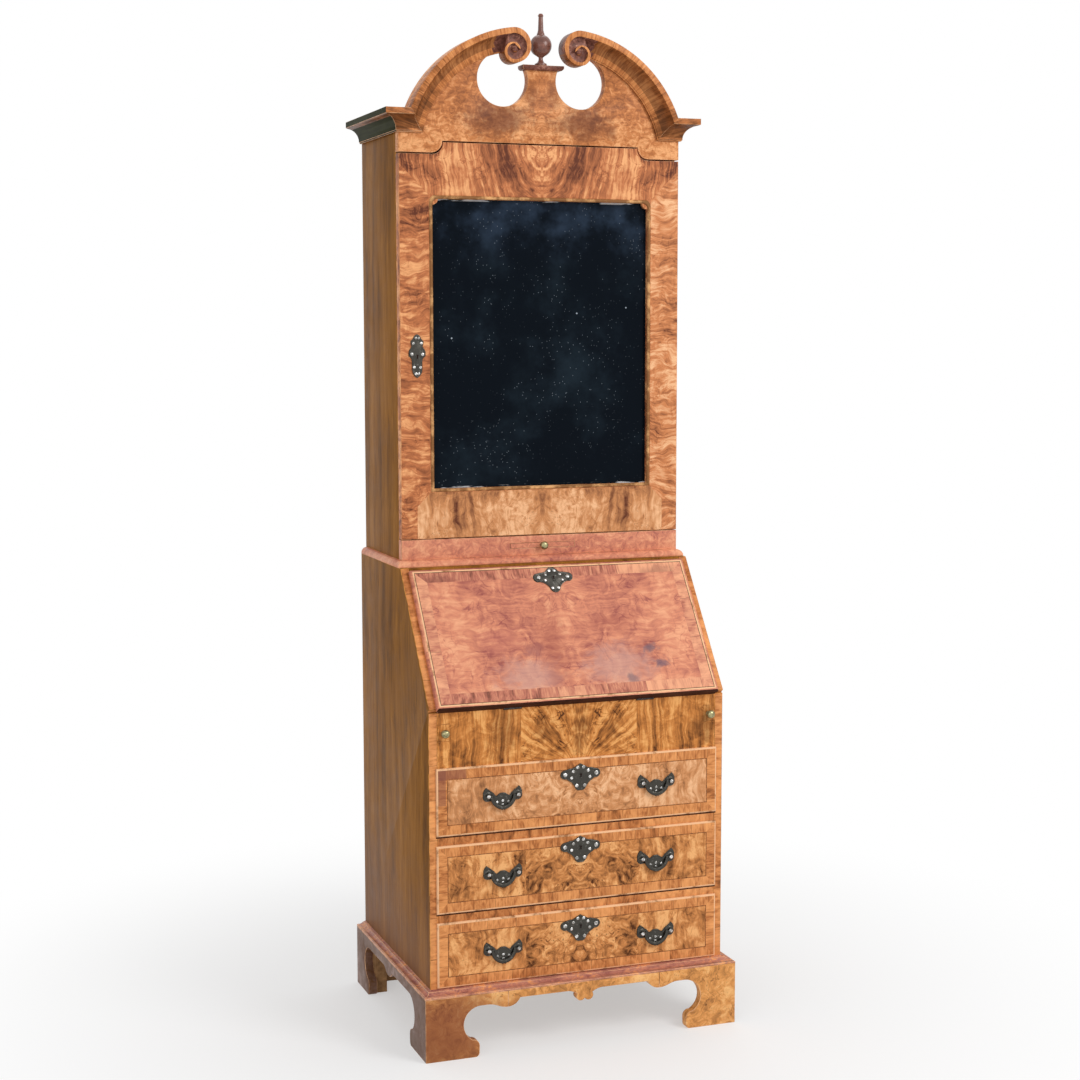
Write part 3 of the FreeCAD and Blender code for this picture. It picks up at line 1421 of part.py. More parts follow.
def make_cornice():
    level = cornice_level
    outer = cabinet_half + s.cornice_side_projection
    outer_depth = cabinet_depth + s.cornice_projection
    corner = (cabinet_half, cabinet_depth, outer, outer_depth)
    side = prism("CorniceSide", "front",
                 cornice_section(s.cornice_side_projection, cabinet_half, level), 0, outer_depth)
    side = cut(side, mitre(*corner, in_front=True))
    ret = prism("CorniceReturn", "side", cornice_section(s.cornice_projection, cabinet_depth, level),
                mitre_foot_place, outer - mitre_foot_place)
    ret = cut(ret, mitre(*corner, in_front=False), neck_mitre(False))
    node("cornice", side, mirrored(side), ret, mirrored(ret))


def neck_mitre(keep_return):
    """Block over one side of the mitre between the swan-neck and the front return."""
    low, high = cornice_level, cornice_level + s.cornice_height
    lean = mitre_top_place - mitre_foot_place
    foot = (mitre_foot_place - lean, low - s.cornice_height)
    tip = (mitre_top_place + lean, high + s.cornice_height)
    if keep_return:
        points = [foot, (tip[0], foot[1]), tip]
    else:
        points = [foot, tip, (foot[0], tip[1])]
    return prism("NeckMitre", "front", points, s.cabinet_side_depth - s.overrun,
                 s.cornice_projection + cabinet_depth - s.cabinet_side_depth + s.overrun * 2)


def make_tympanum():
    lip, aside = s.head_gap, s.head_side_gap
    top = cornice_level + s.cornice_height
    hole_x, hole_z, hole_r = s.hole_centre, hole_level, s.hole_radius
    head_inner = head_half - s.head_step
    tip_low = hole_z + circle_reach(hole_r, s.tip_place - hole_x)
    tip_high = neck_centre_level + circle_reach(neck_radius, s.tip_place - s.neck_centre)
    cap_place = hole_x - circle_reach(hole_r, cap_level - hole_z)
    arc_share = share_of(neck_radius, (mitre_top_place, top), (s.tip_place, tip_high))
    right = [(head_inner + aside, head_level + lip),
             (head_half + aside, shoulder_level + lip, QUARTER_SHARE),
             (cabinet_half, shoulder_level + lip), (cabinet_half, top), (mitre_top_place, top),
             (s.tip_place, tip_high, arc_share), (s.tip_place, tip_low),
             (hole_x + hole_r, hole_z, -share_of(hole_r, (s.tip_place, tip_low), (hole_x + hole_r, hole_z))),
             (hole_x, hole_z - hole_r, -QUARTER_SHARE), (hole_x - hole_r, hole_z, -QUARTER_SHARE),
             (cap_place, cap_level, -share_of(hole_r, (hole_x - hole_r, hole_z),
                                                (cap_place, cap_level)))]
    left = []
    for i in range(len(right) - 1, -1, -1):
        arc = right[i + 1][2:] if i + 1 < len(right) else ()
        left.append((-right[i][0], right[i][1]) + tuple(arc))
    node("tympanum", prism("Tympanum", "front", right + left, s.cabinet_side_depth,
                           cabinet_depth - s.cabinet_side_depth))


def share_of(radius, start, end):
    """Radius as a share of the chord between two points."""
    chord = math.hypot((size(end[0]) - start[0]).value, (size(end[1]) - start[1]).value)
    return radius.value / chord


def scroll(top, shares):
    """Points of a scroll of quarter arcs that winds inwards from its top, turning left."""
    directions = ((-1, 0), (0, -1), (1, 0), (0, 1))
    radii = [s.volute_radius * share for share in shares]
    points = [top]
    place, level = top
    centre = (place, level - radii[0])
    for i, radius in enumerate(radii):
        across, up = directions[i % 4]
        points.append((centre[0] + radius * across, centre[1] + radius * up, QUARTER_SHARE))
        if i + 1 < len(radii):
            step = radius - radii[i + 1]
            centre = (centre[0] + step * across, centre[1] + step * up)
    return points


def make_swan_necks():
    body = new_body("NeckMoulding")
    inner_radius = neck_radius - s.cornice_height
    section = flattened(cornice_section(s.cornice_projection, cabinet_depth, inner_radius))
    feature = body.newObject("PartDesign::Revolution", "Sweep")
    feature.Profile = draw(body, "side", [section], 0)
    feature.ReferenceAxis = (feature.Profile[0], ["H_Axis"])
    feature.Angle = 90 - PEDIMENT_SIZES["neck_end_angle"] - PEDIMENT_SIZES["neck_foot_angle"]
    doc.recompute()
    sweep_turn = Rotation(Vector(0, 1, 0), PEDIMENT_SIZES["neck_end_angle"])
    if feature.Shape.CenterOfMass.x < 0:
        feature.Reversed = True
    set_down(body, s.neck_centre, size(0), neck_centre_level, sweep_turn)
    neck = cut(body, neck_mitre(True))

    end = math.radians(PEDIMENT_SIZES["neck_end_angle"])
    reach, rise = math.sin(end), math.cos(end)
    neck_top = (s.neck_centre + neck_radius * reach, neck_centre_level + neck_radius * rise)
    fillet_radius = neck_radius - s.band_width
    neck_low = (s.neck_centre + fillet_radius * reach, neck_centre_level + fillet_radius * rise)
    volute_top = (neck_top[0] - s.volute_inset, neck_top[1] + s.volute_rise)
    outer = scroll(volute_top, SCROLL_OUTER_SHARES)
    band_back = cabinet_depth + s.cornice_projection - s.band_height
    drum = prism("Drum", "front", [neck_top] + outer[:4], cabinet_depth, band_back - cabinet_depth)
    inner_top = (outer[0][0], outer[0][1] - s.band_width)
    inner = scroll(inner_top, SCROLL_INNER_SHARES)
    band_outline = [neck_top] + outer + reversed_outline(inner) + [neck_low]
    band = prism("Band", "front", band_outline, band_back - s.bond, s.band_height + s.bond)
    eye = turned("Eye", EYE_SHARES, KNOB_SIDES, s.eye_radius, s.eye_height, volute_top[0] - s.eye_inset,
                 band_back - s.bond, volute_top[1] - s.eye_drop, FORWARD)
    right = join(neck, drum, band, eye)
    node("swan_neck_right", right)
    node("swan_neck_left", mirrored(right))


def make_cap_and_finial():
    body = new_body("Cap")
    rear, front = s.cabinet_side_depth, cabinet_depth + s.cap_forward
    pad(body, "plan", [rectangle(-s.cap_half, s.cap_half, rear, front)], cap_level, s.cap_height)
    doc.recompute()
    base = body.Tip
    low = base.Shape.BoundBox.ZMin + s.bond.value
    rear_face = base.Shape.BoundBox.YMax - s.bond.value
    names = ["Edge%d" % (i + 1) for i, edge in enumerate(base.Shape.Edges)
             if edge.BoundBox.ZMax < low and edge.BoundBox.YMin < rear_face]
    fillet = body.newObject("PartDesign::Fillet", "Underside")
    fillet.Base = (base, names)
    bind(fillet, "Radius", s.cap_round)
    node("pediment_cap", body)
    node("finial", turned("Finial", FINIAL_SHARES, FINIAL_SIDES, s.finial_radius, s.finial_height, 0,
                          s.cabinet_side_depth + s.finial_set_forward,
                          cap_level + s.cap_height))


def check_and_export():
    """Stop if any object or sub-part failed, then write one file for each sub-part."""
    doc.recompute()
    for item in doc.Objects:
        if "Invalid" in item.State or "Error" in item.State:
            raise RuntimeError("%s failed: %s" % (item.Label, item.State))
    for item in nodes:
        if item.Shape.isNull() or not item.Shape.isValid() or not item.Shape.Solids:
            raise RuntimeError("%s has no valid shape" % item.Label)
    os.makedirs("parts", exist_ok=True)
    for item in nodes:
        item.Shape.exportStep("parts/%s.step" % item.Label)


make_plinth()
make_plinth_moulding()
make_lower_case()
make_loper_guides()
make_lopers()
make_desk()
make_pigeonholes()
make_inner_drawers()
make_drawers()
make_hinge_plates()
make_fall()
make_waist()
make_cabinet()
make_door()
make_cornice()
make_tympanum()
make_swan_necks()
make_cap_and_finial()
check_and_export()
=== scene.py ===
"""Walnut bureau cabinet: veneers, mouldings, mounts and mirror built round its fixed frame.

Lengths are in metres. +X is to the right of someone facing the front, +Y is the back, +Z is up.
"""
import json
import math

import bmesh
import bpy
from bpy.props import FloatProperty, FloatVectorProperty, PointerProperty
from mathutils import Matrix, Vector

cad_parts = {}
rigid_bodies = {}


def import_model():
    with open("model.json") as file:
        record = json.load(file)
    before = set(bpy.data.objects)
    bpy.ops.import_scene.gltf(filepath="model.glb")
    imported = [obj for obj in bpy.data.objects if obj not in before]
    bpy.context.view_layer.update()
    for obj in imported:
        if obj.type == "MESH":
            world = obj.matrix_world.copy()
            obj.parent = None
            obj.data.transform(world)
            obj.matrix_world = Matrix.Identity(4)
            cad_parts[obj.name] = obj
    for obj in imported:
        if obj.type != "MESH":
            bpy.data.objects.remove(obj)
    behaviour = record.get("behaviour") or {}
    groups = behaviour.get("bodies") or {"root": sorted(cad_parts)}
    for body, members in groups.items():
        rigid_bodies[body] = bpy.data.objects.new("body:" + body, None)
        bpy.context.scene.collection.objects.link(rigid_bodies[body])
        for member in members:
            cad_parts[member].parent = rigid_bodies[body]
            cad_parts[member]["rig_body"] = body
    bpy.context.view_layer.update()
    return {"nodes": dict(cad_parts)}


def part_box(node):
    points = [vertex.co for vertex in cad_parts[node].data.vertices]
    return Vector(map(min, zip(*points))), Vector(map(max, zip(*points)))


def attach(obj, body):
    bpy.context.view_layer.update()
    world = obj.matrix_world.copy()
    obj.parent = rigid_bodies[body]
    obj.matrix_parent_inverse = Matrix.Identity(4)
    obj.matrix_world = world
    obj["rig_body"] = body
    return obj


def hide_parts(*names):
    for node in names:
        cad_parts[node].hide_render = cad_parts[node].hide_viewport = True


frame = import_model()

bl_info = {
    "name": "Bureau Cabinet",
    "version": (1, 0, 0),
    "blender": (4, 5, 0),
    "location": "View3D > Sidebar > Bureau",
    "description": "Dresses a walnut bureau cabinet in veneers, brass and mirror glass",
    "category": "Add Mesh",
}

DRAWERS = ("bottom_drawer", "middle_drawer", "top_drawer")
SIDES = (("left", -1), ("right", 1))
WELD = 1e-6
HAIR = 0.0003
SMOOTH_ANGLE = math.radians(32)
FRONT = Vector((0, -1, 0))
UP = Vector((0, 0, 1))

# Planes and points that the pieces share, read from the frame
FRONT_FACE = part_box("frieze_panel")[0].y
LIP_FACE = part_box("top_drawer_front")[0].y
DOOR_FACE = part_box("door_frame")[0].y
# Up the slope of the fall, and square out of its face
FALL_UP = Vector((0, 0.596, 0.803)).normalized()
FALL_OUT = Vector((0, -FALL_UP.z, FALL_UP.y))

# Leaves of veneer on a drawer front and the frieze: where their joints stand
DRAWER_JOINTS = (-0.125, 0.0, 0.138)
FRIEZE_JOINTS = (-0.134, 0.134)

# Outlines of the mounts: shares of half their width and of their height, a third number is an arc
DRAWER_ESCUTCHEON = ((0, -0.586), (0.26, -0.5, 0.75), (0.60, -0.215, -1.4),
                     (0.72, -0.14), (1, 0, 0.66), (0.78, 0.19, 0.66), (0.522, 0.246),
                     (0.291, 0.287, -1.2), (0, 0.415))
FALL_ESCUTCHEON = ((0, -0.581), (0.24, -0.45, 0.8), (0.56, -0.185, -1.4),
                   (0.72, -0.14), (1, 0.016, 0.66), (0.78, 0.2, 0.66), (0.602, 0.226),
                   (0.366, 0.25), (0.194, 0.387), (0, 0.419, 0.9))
DOOR_ESCUTCHEON = ((0, -0.5), (0.605, -0.3, 0.9), (0.605, -0.121), (1, 0, -1), (1, 0.105),
                   (0.668, 0.221), (0.78, 0.34), (0.474, 0.4), (0, 0.5, 0.9))
HANDLE_PLATE = ((0, -0.867), (0.716, -0.38, 0.95), (1.08, -0.4), (1.31, 0.02, 0.66),
                (1.1, 0.6, 0.9), (0.8, 0.17), (0.6, -0.13), (0.299, 0.05), (0, 0.167, 1))
FINIAL = ((0, 0), (0.56, 0), (0.56, 0.045), (0.2, 0.14, -0.8), (0.2, 0.165), (0.42, 0.198),
          (1, 0.39, 0.9), (0.36, 0.59, 0.87), (0.36, 0.61), (0.24, 0.73, -2), (0.2, 0.938),
          (0.27, 0.956), (0.2, 0.978), (0.08, 1, 0.75), (0, 1))
KNOB = ((0, 0), (0.645, 0), (0.645, 0.077), (0.366, 0.231, -0.75), (0.366, 0.333),
        (1, 0.667, 0.75), (0.12, 1, 0.75), (0, 1))

# Rosette and cap round each handle post: radii and heights in millimetres
POST_ROSETTE = ((0, -0.3), (9.6, -0.3), (9.6, 0.7), (8.6, 1.8), (6.4, 2.6), (4.4, 2.8), (0, 2.8))
POST_CAP = ((0, 7.3), (4.0, 7.3), (4.3, 8.2), (4.2, 9.5), (3.0, 10.9), (1.2, 11.4), (0, 11.5))
# The cap's rows from this one up take the bright glint metal: painted highlight, partly rubbed brass
CAP_SHINE_FROM = 3

# Studs of each plate: across, up and radius, the same on both sides of an escutcheon
DRAWER_STUDS = ((0.036, 0.0015, 0.0055), (0.017, 0.008, 0.0042), (0.021, -0.006, 0.004),
                (0.009, -0.024, 0.0048), (0.0065, 0.016, 0.0045))
FALL_STUDS = ((0.034, 0.002, 0.0055), (0.017, 0.008, 0.004), (0.020, -0.006, 0.004),
              (0.007, -0.026, 0.0045), (0.006, 0.018, 0.0045))
DOOR_STUDS = ((0.012, 0.004, 0.0045), (0.007, -0.024, 0.004), (0.009, 0.028, 0.0038),
              (0.003, 0.039, 0.0035), (0.003, -0.038, 0.004))
HANDLE_STUDS = ((0, -0.012, 0.0035), (0.013, -0.015, 0.0035), (-0.013, -0.015, 0.0035),
                (0, -0.021, 0.0035))

# Cast borders: share of the outline that each row keeps, and its height in shares of the relief
# or, for a handle plate, in metres
ESCUTCHEON_ROWS = ((0.985, 0.45), (0.93, 0.62), (0.86, 0.30), (0.66, 0.42), (0.50, 0.95), (0.26, 1))
HANDLE_ROWS = ((0.985, -HAIR), (0.985, 0.0007), (0.92, 0.0012), (0.84, 0.0005), (0.55, 0.0008))

# Half the width and the height of each escutcheon's outline, and the radius and length of the knobs
DRAWER_PLATE = (0.046, 0.0585)
DRAWER_PLATE_REACH = 0.047
FALL_PLATE = (0.0465, 0.062)
FALL_PLATE_RAISE = 0.081
DOOR_PLATE = (0.019, 0.095)
KNOB_SIZE = (0.0093, 0.0195)
SMALL_KNOB_SIZE = (0.005, 0.010)

# Keyholes: level of the round hole, its radius, half the width and the foot of the slot, and how
# far the rim spreads across and up
KEYHOLE_LEVEL = 0.001
KEYHOLE_RADIUS = 0.0022
KEYHOLE_SLOT = (0.0015, 0.0065)
KEYHOLE_RIM = (1.75, 1.45)

# Bails: outer and inner edge of their right half, and the two small ridges at the middle
BAIL_OUTER = ((0, -1.017), (0.83, -0.133, 0.76), (0.83, 0.075))
BAIL_INNER = ((0, -0.733), (0.70, 0.05, 0.75), (0.70, 0.075))
BAIL_FLATNESS = 0.62
RIDGE_PLACE = 0.0024
RIDGE_WIDTH = 0.0011
RIDGE_SWELL = 0.30

# Handles: centre, half the distance between the posts, drop of the bail, its top above the posts
# as a share of the drop, plate thickness and pins
HANDLE_CENTRE = 0.178
POST_HALF = 0.0335
BAIL_DROP = 0.030
BAIL_TOP = 0.113
PLATE = 0.0015
PIN_FORWARD = 0.0055
PIN_RADIUS = 0.0015
PIN_START = 0.0235
PIN_REACH = 0.0413

# Door: hollow corners of its head, margins and joints of its leaves, edge of the sight of the mirror
HEAD_HOLLOW_X = 0.253
HEAD_HOLLOW_RADIUS = 0.0265
HEAD_HOLLOW_STEP = math.radians(12.5)
HEAD_HOLLOW_POINTS = 8
LEAF_MARGIN = 0.0012
LEAF_JOINT = 0.00025
MITRE_REACH = 0.030
SIGHT_EDGE = 0.007

# Pediment: hub of the necks' arc and the corner past which they are volute
NECK_HUB = (0.0473, 1.9126)
VOLUTE_REACH = 0.116
VOLUTE_FOOT = 2.142

# Widths of the rounded arrises of lighter boards
ARRIS = 0.0006
MOULDING_ARRIS = 0.0005
THIN_ARRIS = 0.0004
NECK_ARRIS = 0.0007

# Case: room round the loper ends, margin of the frieze leaves and depth of the painted shadow strip under
# a drawer
LOPER_ROOM = 0.0015
FRIEZE_MARGIN = 0.0005
SHADOW_STRIP_DEPTH = 0.0032
SHADOW_STRIP_OVERLAP = 0.001


def colour_property(name, red, green, blue):
    return FloatVectorProperty(name=name, description="Colour of the " + name.lower(), subtype="COLOR",
                               size=3, min=0, max=1, default=(red, green, blue))


def length_property(name, default, description):
    return FloatProperty(name=name, description=description, subtype="DISTANCE", unit="LENGTH", min=0,
                         default=default)


class BureauColours(bpy.types.PropertyGroup):
    """Colours of the woods, metals and glass."""

    burr_light: colour_property("Burr highlights", 0.98, 0.55, 0.29)
    burr_middle: colour_property("Burr ground", 0.67, 0.29, 0.115)
    burr_dark: colour_property("Burr figure", 0.13, 0.050, 0.020)
    frieze_light: colour_property("Frieze highlights", 0.95, 0.46, 0.15)
    frieze_middle: colour_property("Frieze ground", 0.64, 0.235, 0.056)
    frieze_dark: colour_property("Frieze figure", 0.09, 0.028, 0.008)
    door_light: colour_property("Door highlights", 0.95, 0.46, 0.20)
    door_middle: colour_property("Door ground", 0.60, 0.205, 0.078)
    door_dark: colour_property("Door figure", 0.13, 0.036, 0.018)
    fall_light: colour_property("Fall highlights", 0.93, 0.44, 0.25)
    fall_middle: colour_property("Fall ground", 0.76, 0.29, 0.17)
    fall_dark: colour_property("Fall figure", 0.36, 0.10, 0.085)
    band_light: colour_property("Crossband highlights", 0.93, 0.40, 0.14)
    band_dark: colour_property("Crossband shadows", 0.52, 0.18, 0.055)
    stain: colour_property("Purple stain", 0.25, 0.085, 0.062)
    side_light: colour_property("Side board highlights", 0.45, 0.195, 0.040)
    side_middle: colour_property("Side board ground", 0.29, 0.118, 0.020)
    side_dark: colour_property("Side board pores", 0.13, 0.050, 0.010)
    moulding: colour_property("Plinth moulding", 0.60, 0.25, 0.17)
    edge: colour_property("Worn edges", 0.95, 0.56, 0.31)
    oak: colour_property("Oak carcase", 0.30, 0.165, 0.075)
    bronze: colour_property("Patinated brass", 0.062, 0.058, 0.050)
    brass: colour_property("Rubbed brass", 0.42, 0.38, 0.20)
    gilt: colour_property("Mirror bead", 0.55, 0.24, 0.085)
    glass: colour_property("Old mirror", 0.0035, 0.006, 0.010)


class BureauSizes(bpy.types.PropertyGroup):
    """Widths of the veneers and the worn edges."""

    crossband: length_property("Crossband", 0.0195, "Width of the crossbanding round a drawer front")
    feather: length_property("Feather line", 0.0018, "Width of the line inside the crossbanding")
    lip_round: length_property("Lip round", 0.004, "Radius of the rounded lip of a drawer front")
    fall_lip: length_property("Fall lip", 0.0035, "Width of the worn lip round the fall")
    fall_groove: length_property("Fall groove", 0.0012, "Width of the dark line inside the lip")
    fall_band: length_property("Fall band", 0.024, "Width of the crossbanding round the fall")
    edge_wear: length_property("Edge wear", 0.0009, "Width of the rounded arris of a board")
    veneer: length_property("Veneer", 0.0003, "Thickness of the leaves on the door")
    relief: length_property("Relief", 0.0022, "Height of the cast relief on the mounts")


# Node trees of the materials
class Finish:
    """One procedural material, with short calls for the nodes that it uses."""

    def __init__(self, name, roughness=0.4):
        self.material = bpy.data.materials.new(name)
        self.material.use_nodes = True
        self.tree = self.material.node_tree
        self.tree.nodes.clear()
        self.output = self.node("ShaderNodeOutputMaterial")
        self.shader = self.node("ShaderNodeBsdfPrincipled")
        self.plug(self.output.inputs["Surface"], self.shader.outputs["BSDF"])
        self.set("Roughness", roughness)

    def node(self, kind, **settings):
        made = self.tree.nodes.new(kind)
        for key, value in settings.items():
            setattr(made, key, value)
        return made

    def plug(self, socket, value):
        if isinstance(value, bpy.types.NodeSocket):
            self.tree.links.new(value, socket)
        else:
            socket.default_value = value

    def set(self, name, value):
        self.plug(self.shader.inputs[name], value)

    def math(self, operation, first, second=0.0, third=0.0):
        made = self.node("ShaderNodeMath", operation=operation)
        for socket, value in zip(made.inputs, (first, second, third)):
            self.plug(socket, value)
        return made.outputs[0]

    def vector(self, operation, first, second=(0, 0, 0), scale=1.0):
        made = self.node("ShaderNodeVectorMath", operation=operation)
        self.plug(made.inputs[0], first)
        self.plug(made.inputs[1], second)
        if operation == "SCALE":
            made.inputs[3].default_value = scale
        return made.outputs[0]

    def parts(self, vector):
        made = self.node("ShaderNodeSeparateXYZ")
        self.plug(made.inputs[0], vector)
        return made.outputs

    def joined(self, x, y, z):
        made = self.node("ShaderNodeCombineXYZ")
        for socket, value in zip(made.inputs, (x, y, z)):
            self.plug(socket, value)
        return made.outputs[0]

    def place(self, kind="Object"):
        return self.node("ShaderNodeTexCoord").outputs[kind]

    def noise(self, where, scale, detail=2.0, roughness=0.5, distortion=0.0, colour=False):
        made = self.node("ShaderNodeTexNoise")
        self.plug(made.inputs["Vector"], where)
        for key, value in (("Scale", scale), ("Detail", detail), ("Roughness", roughness),
                           ("Distortion", distortion)):
            made.inputs[key].default_value = value
        return made.outputs["Color" if colour else "Fac"]

    def dots(self, where, scale):
        made = self.node("ShaderNodeTexVoronoi")
        self.plug(made.inputs["Vector"], where)
        made.inputs["Scale"].default_value = scale
        return made.outputs["Distance"], made.outputs["Color"]

    def random_of(self, value):
        made = self.node("ShaderNodeTexWhiteNoise", noise_dimensions="1D")
        self.plug(made.inputs["W"], value)
        return made.outputs["Value"]

    def reach(self, run, rise):
        """Length of the slope with this run and rise."""
        return self.math("SQRT", self.math("ADD", self.math("MULTIPLY", run, run),
                                           self.math("MULTIPLY", rise, rise)))

    def wander(self, where, scale, amount):
        """The place moved about by slow noise."""
        drift = self.vector("SUBTRACT", self.noise(where, scale, 2.0, colour=True), (0.5, 0.5, 0.5))
        return self.vector("ADD", where, self.vector("SCALE", drift, scale=amount))

    def seam(self, lengths, half):
        """Thin line at each whole number of lengths."""
        edge = self.math("ABSOLUTE", self.math("SUBTRACT", self.math("FRACT", lengths), 0.5))
        return self.math("GREATER_THAN", edge, half)

    def span(self, value, low, high, start=0.0, end=1.0):
        made = self.node("ShaderNodeMapRange", interpolation_type="SMOOTHSTEP")
        self.plug(made.inputs[0], value)
        for socket, amount in zip(made.inputs[1:5], (low, high, start, end)):
            socket.default_value = amount
        return made.outputs[0]

    def ramp(self, value, stops):
        made = self.node("ShaderNodeValToRGB")
        self.plug(made.inputs[0], value)
        elements = made.color_ramp.elements
        while len(elements) < len(stops):
            elements.new(0.5)
        for element, (place, colour) in zip(elements, stops):
            element.position = place
            element.color = (*colour, 1)
        return made.outputs[0]

    def mix(self, factor, first, second):
        made = self.node("ShaderNodeMix", data_type="RGBA")
        self.plug(made.inputs[0], factor)
        for socket, value in ((made.inputs[6], first), (made.inputs[7], second)):
            if not isinstance(value, bpy.types.NodeSocket):
                value = (*value, 1)
            self.plug(socket, value)
        return made.outputs[2]

    def bump(self, height, distance, strength=1.0):
        made = self.node("ShaderNodeBump")
        self.plug(made.inputs["Height"], height)
        made.inputs["Distance"].default_value = distance
        made.inputs["Strength"].default_value = strength
        self.set("Normal", made.outputs[0])

    def polish(self, place, pore, fine, roughness, gloss=0.12):
        """Old wax over open pores: uneven gloss and a grain that can be felt."""
        bloom = self.noise(place, 24.0, 3.0)
        self.set("Roughness", self.math("MULTIPLY_ADD", bloom, 0.22, roughness - 0.1))
        self.set("Specular IOR Level", gloss)
        self.bump(self.math("MULTIPLY_ADD", pore, -0.6, fine), 0.0004, 0.35)


def shade(colour, amount):
    """Colour made lighter or darker."""
    return tuple(min(1.0, c * amount) for c in colour)


def blend(first, second, share):
    return tuple(a + (b - a) * share for a, b in zip(first, second))


def spotted(finish, place, colour, spots):
    """Stains and faded places: each spot is its centre, half sizes, tint, strength and softness."""
    x, _, z = finish.parts(place)
    ragged = finish.math("MULTIPLY_ADD", finish.noise(place, 34.0, 5.0, 0.68, 0.6), 2.4, -1.2)
    for across, level, half_x, half_z, tint, amount, soft in spots:
        dx = finish.math("DIVIDE", finish.math("SUBTRACT", x, across), half_x)
        dz = finish.math("DIVIDE", finish.math("SUBTRACT", z, level), half_z)
        if soft:
            far = finish.math("ADD", finish.reach(dx, dz), finish.math("MULTIPLY", ragged, soft))
            inside = finish.span(far, 1.2, 0.25)
        else:
            far = finish.math("MAXIMUM", finish.math("ABSOLUTE", dx), finish.math("ABSOLUTE", dz))
            inside = finish.math("LESS_THAN", far, 1.0)
        colour = finish.mix(finish.math("MULTIPLY", inside, amount), colour, tint)
    return colour


def walnut(name, tones, lay="matched", hub=(0.0, 1.0, 1.0), grain=(30, 30, 30), swirl=0.9, streak=0.5,
           cloud=0.6, line=0.14, knots=34.0, warp=0.012, cloud_scale=6.5, pips=0.0, spots=(),
           roughness=0.42, lift=0.0, gloss=0.12):
    """Polished walnut. Its lay says how the grain runs: plain, matched about the middle, or in rings
    or a fan about a hub."""
    dark, middle, light = tones
    finish = Finish(name, roughness)
    place = finish.place()
    x, y, z = finish.parts(place)
    if lay != "plain":
        x = finish.math("ABSOLUTE", x)
    still = finish.joined(x, y, z)
    bent = finish.wander(still, 13.0, warp * 2)
    along = bent
    if lay in ("rings", "fan"):
        bx, by, bz = finish.parts(bent)
        rise = finish.math("MULTIPLY", finish.math("SUBTRACT", bz, hub[1]), hub[2])
        run = finish.math("SUBTRACT", bx, hub[0])
        reach = finish.reach(run, rise)
        angle = finish.math("MULTIPLY", finish.math("ARCTAN2", run, rise), 0.15)
        along = finish.joined(reach, by, angle) if lay == "rings" else finish.joined(angle, by, reach)
    along = finish.vector("MULTIPLY", along, grain)
    body = finish.noise(bent, knots, 6.0, 0.62, 1.4)
    streaks = finish.noise(along, 1.0, 5.0, 0.66, 0.3)
    clouds = finish.noise(still, cloud_scale, 3.0, 0.55)
    vein = finish.math("ABSOLUTE", finish.math("SUBTRACT", finish.noise(bent, knots * 0.7, 3.0, 0.5, 1.0),
                                               0.5))
    vein = finish.math("MULTIPLY", finish.span(vein, 0.022, 0.0),
                       finish.span(finish.noise(still, 15.0, 2.0), 0.42, 0.62))
    tone = finish.math("MULTIPLY_ADD", body, swirl, 0.5 + lift - (swirl + streak + cloud) / 2)
    tone = finish.math("MULTIPLY_ADD", streaks, streak, tone)
    tone = finish.math("MULTIPLY_ADD", clouds, cloud, tone)
    tone = finish.math("MULTIPLY_ADD", vein, -line, tone)
    colour = finish.ramp(tone, ((0.24, dark), (0.40, blend(dark, middle, 0.55)), (0.53, middle),
                                (0.70, light)))
    pore = finish.span(finish.noise(finish.vector("SCALE", along, scale=8.0), 1.0, 2.0), 0.58, 0.74)
    colour = finish.mix(finish.math("MULTIPLY", pore, 0.30), colour, shade(dark, 0.8))
    if pips:
        distance, _ = finish.dots(bent, 110.0)
        pip = finish.math("MULTIPLY", finish.span(distance, 0.26, 0.10),
                          finish.span(finish.noise(still, 18.0, 2.0), 0.52, 0.62))
        colour = finish.mix(finish.math("MULTIPLY", pip, pips), colour, shade(dark, 0.5))
    if spots:
        colour = spotted(finish, place, colour, spots)
    finish.set("Base Color", colour)
    finish.polish(still, pore, streaks, roughness, gloss)
    return finish.material


def banding(name, light, dark, joint=0.062, along="uv", width=1.0, spots=(), contrast=0.12):
    """Crossbanding: grain across the strip, in short lengths with a thin joint between them."""
    finish = Finish(name, 0.42)
    place = finish.place()
    if along == "uv":
        u, v, _ = finish.parts(finish.place("UV"))
    elif along == "x":
        u, _, v = finish.parts(place)
    else:
        v, _, u = finish.parts(place)
    drift = finish.math("MULTIPLY", finish.noise(finish.joined(u, 0.0, 0.0), 9.0, 1.0), joint * 0.9)
    lengths = finish.math("DIVIDE", finish.math("ADD", u, drift), joint)
    cell = finish.math("FLOOR", lengths)
    tint = finish.random_of(cell)
    spot = finish.joined(finish.math("MULTIPLY_ADD", tint, 3.0, u), v, 0.0)
    streaks = finish.noise(finish.vector("MULTIPLY", spot, (300 * width, 30, 1)), 1.0, 5.0, 0.66)
    wide = finish.noise(finish.vector("MULTIPLY", spot, (50, 22, 1)), 1.0, 4.0, 0.6, 1.0)
    tone = finish.math("MULTIPLY_ADD", wide, 0.8, finish.math("MULTIPLY", streaks, 0.5))
    tone = finish.math("MULTIPLY_ADD", tint, contrast, finish.math("SUBTRACT", tone, 0.15 + contrast / 2))
    colour = finish.ramp(tone, ((0.26, shade(dark, 0.45)), (0.40, dark), (0.54, blend(dark, light, 0.6)),
                                (0.68, light)))
    seam = finish.seam(lengths, 0.5 - 0.0005 / joint)
    colour = finish.mix(finish.math("MULTIPLY", seam, 0.6), colour, shade(dark, 0.3))
    if spots:
        colour = spotted(finish, place, colour, spots)
    finish.set("Base Color", colour)
    finish.polish(place, seam, streaks, 0.42)
    return finish.material


